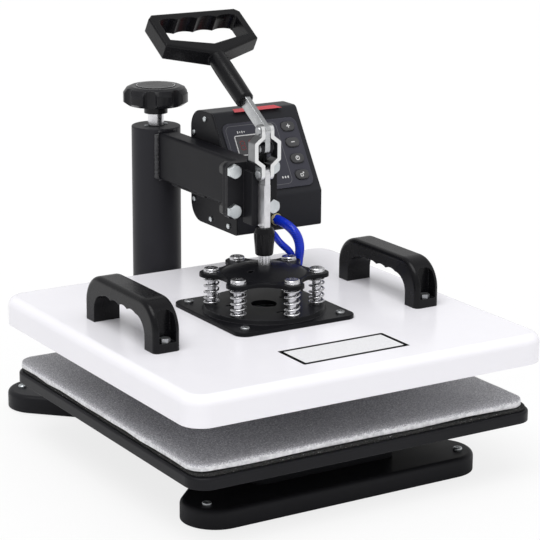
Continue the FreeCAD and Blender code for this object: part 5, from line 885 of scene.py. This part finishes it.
def bead(name, start, end, radius, body, seed):
    """Rippled weld bead from one point to another."""
    rng = random.Random(seed)
    start = Vector(start)
    end = Vector(end)
    steps = max(8, int((end - start).length / BEAD_STEP))
    data = bpy.data.curves.new(name, "CURVE")
    data.dimensions = "3D"
    spline = data.splines.new("POLY")
    spline.points.add(steps)
    for i, point in enumerate(spline.points):
        place = start.lerp(end, i / steps)
        place.x += rng.uniform(-BEAD_JITTER, BEAD_JITTER)
        place.y += rng.uniform(-BEAD_JITTER, BEAD_JITTER)
        point.co = (*place, 1.0)
        point.radius = (1.12 if i % 2 else 0.84) + rng.uniform(-0.07, 0.07)
    data.bevel_depth = radius
    data.bevel_resolution = 4
    data.use_fill_caps = True
    obj = bpy.data.objects.new(name, data)
    bpy.context.scene.collection.objects.link(obj)
    # the bead's light colour is painted light
    data.materials.append(WELD_WITH_PAINTED_LIGHT)
    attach(obj, body)


SLEEVE_R = 0.026
SLEEVE_Y = 0.1785
BEAM_HALF_W = 0.011
SEAM_X = BEAM_HALF_W + 0.001
SEAM_Y = SLEEVE_Y - math.sqrt(SLEEVE_R ** 2 - SEAM_X ** 2)   # where the beam meets the round sleeve
for side, side_name in ((-1, "left"), (1, "right")):
    x, y = side * SEAM_X, SEAM_Y - 0.0008
    bead("arm_weld_" + side_name, (x, y, 0.2485), (x, y, 0.2955), 0.0028, "arm", 20 + side)
for level_name, z, seed in (("top", 0.2975, 31), ("low", 0.2465, 32)):
    y = SEAM_Y - 0.0002
    bead("arm_weld_" + level_name, (-0.010, y, z), (0.010, y, z), 0.0018, "arm", seed)


# growth over the cable's radius and share of the length of each ring of strands
STRAND_RINGS = ((0.00025, 0.0), (0.0008, 0.35), (0.0011, 0.8), (0.0006, 1.0))


def strand_ring(name, cable_name, length, seed):
    """Frayed pale glass-fibre end of a cable's sleeving, standing out of its gland."""
    rng = random.Random(seed)
    radius, route_points = ROUTES[cable_name]
    centre = route_points[0]
    verts = []
    steps = 40
    for k, (grow, along) in enumerate(STRAND_RINGS):
        for i in range(steps):
            a = math.tau * i / steps
            r = radius + grow + (rng.uniform(-0.0003, 0.0004) if k else 0.0)
            y = -length * along - (rng.uniform(0.0, 0.0016) if k == 3 else 0.0)
            verts.append((centre[0] + r * math.cos(a), centre[1] + y, centre[2] + r * math.sin(a)))
    faces = []
    for k in range(3):
        for i in range(steps):
            j = (i + 1) % steps
            faces.append((k * steps + i, (k + 1) * steps + i, (k + 1) * steps + j, k * steps + j))
    obj = add_mesh(name, verts, faces, STRANDS, "arm")
    shell = obj.modifiers.new("thick", "SOLIDIFY")
    shell.thickness = 0.0003
    shell.offset = 1.0


strand_ring("heater_sleeve_end", "heater_cable", 0.0040, 4)
strand_ring("sensor_sleeve_end", "sensor_cable", 0.0035, 6)

# stage and light

floor = add_mesh("floor", [(-6, -6, 0), (6, -6, 0), (6, 6, 0), (-6, 6, 0)], [(0, 1, 2, 3)],
                 floor_look("floor_paper"), None, smooth=False)


def daylight(name, place, strength, spread):
    """Broad even light from one direction."""
    data = bpy.data.lights.new(name, "SUN")
    data.energy = strength
    data.angle = math.radians(spread)
    obj = bpy.data.objects.new(name, data)
    bpy.context.scene.collection.objects.link(obj)
    obj.location = place
    obj.rotation_euler = (-Vector(place)).to_track_quat("-Z", "Y").to_euler()


daylight("key", (-0.75, -0.60, 2.5), 1.95, 44.0)
daylight("fill", (1.4, -1.5, 1.6), 0.25, 60.0)

world = bpy.data.worlds.new("studio")
bpy.context.scene.world = world
world.use_nodes = True
tree = world.node_tree
tree.nodes.clear()
world_out = tree.nodes.new("ShaderNodeOutputWorld")
path_info = tree.nodes.new("ShaderNodeLightPath")
choose = tree.nodes.new("ShaderNodeMixShader")
tree.links.new(path_info.outputs["Is Camera Ray"], choose.inputs[0])
WORLD_LIGHT, WORLD_SEEN = 0.60, 1.0
for socket, strength in zip(choose.inputs[1:], (WORLD_LIGHT, WORLD_SEEN)):
    background = tree.nodes.new("ShaderNodeBackground")
    background.inputs["Color"].default_value = (1, 1, 1, 1)
    background.inputs["Strength"].default_value = strength
    tree.links.new(background.outputs[0], socket)
tree.links.new(choose.outputs[0], world_out.inputs[0])

bpy.context.scene.view_settings.view_transform = "Standard"
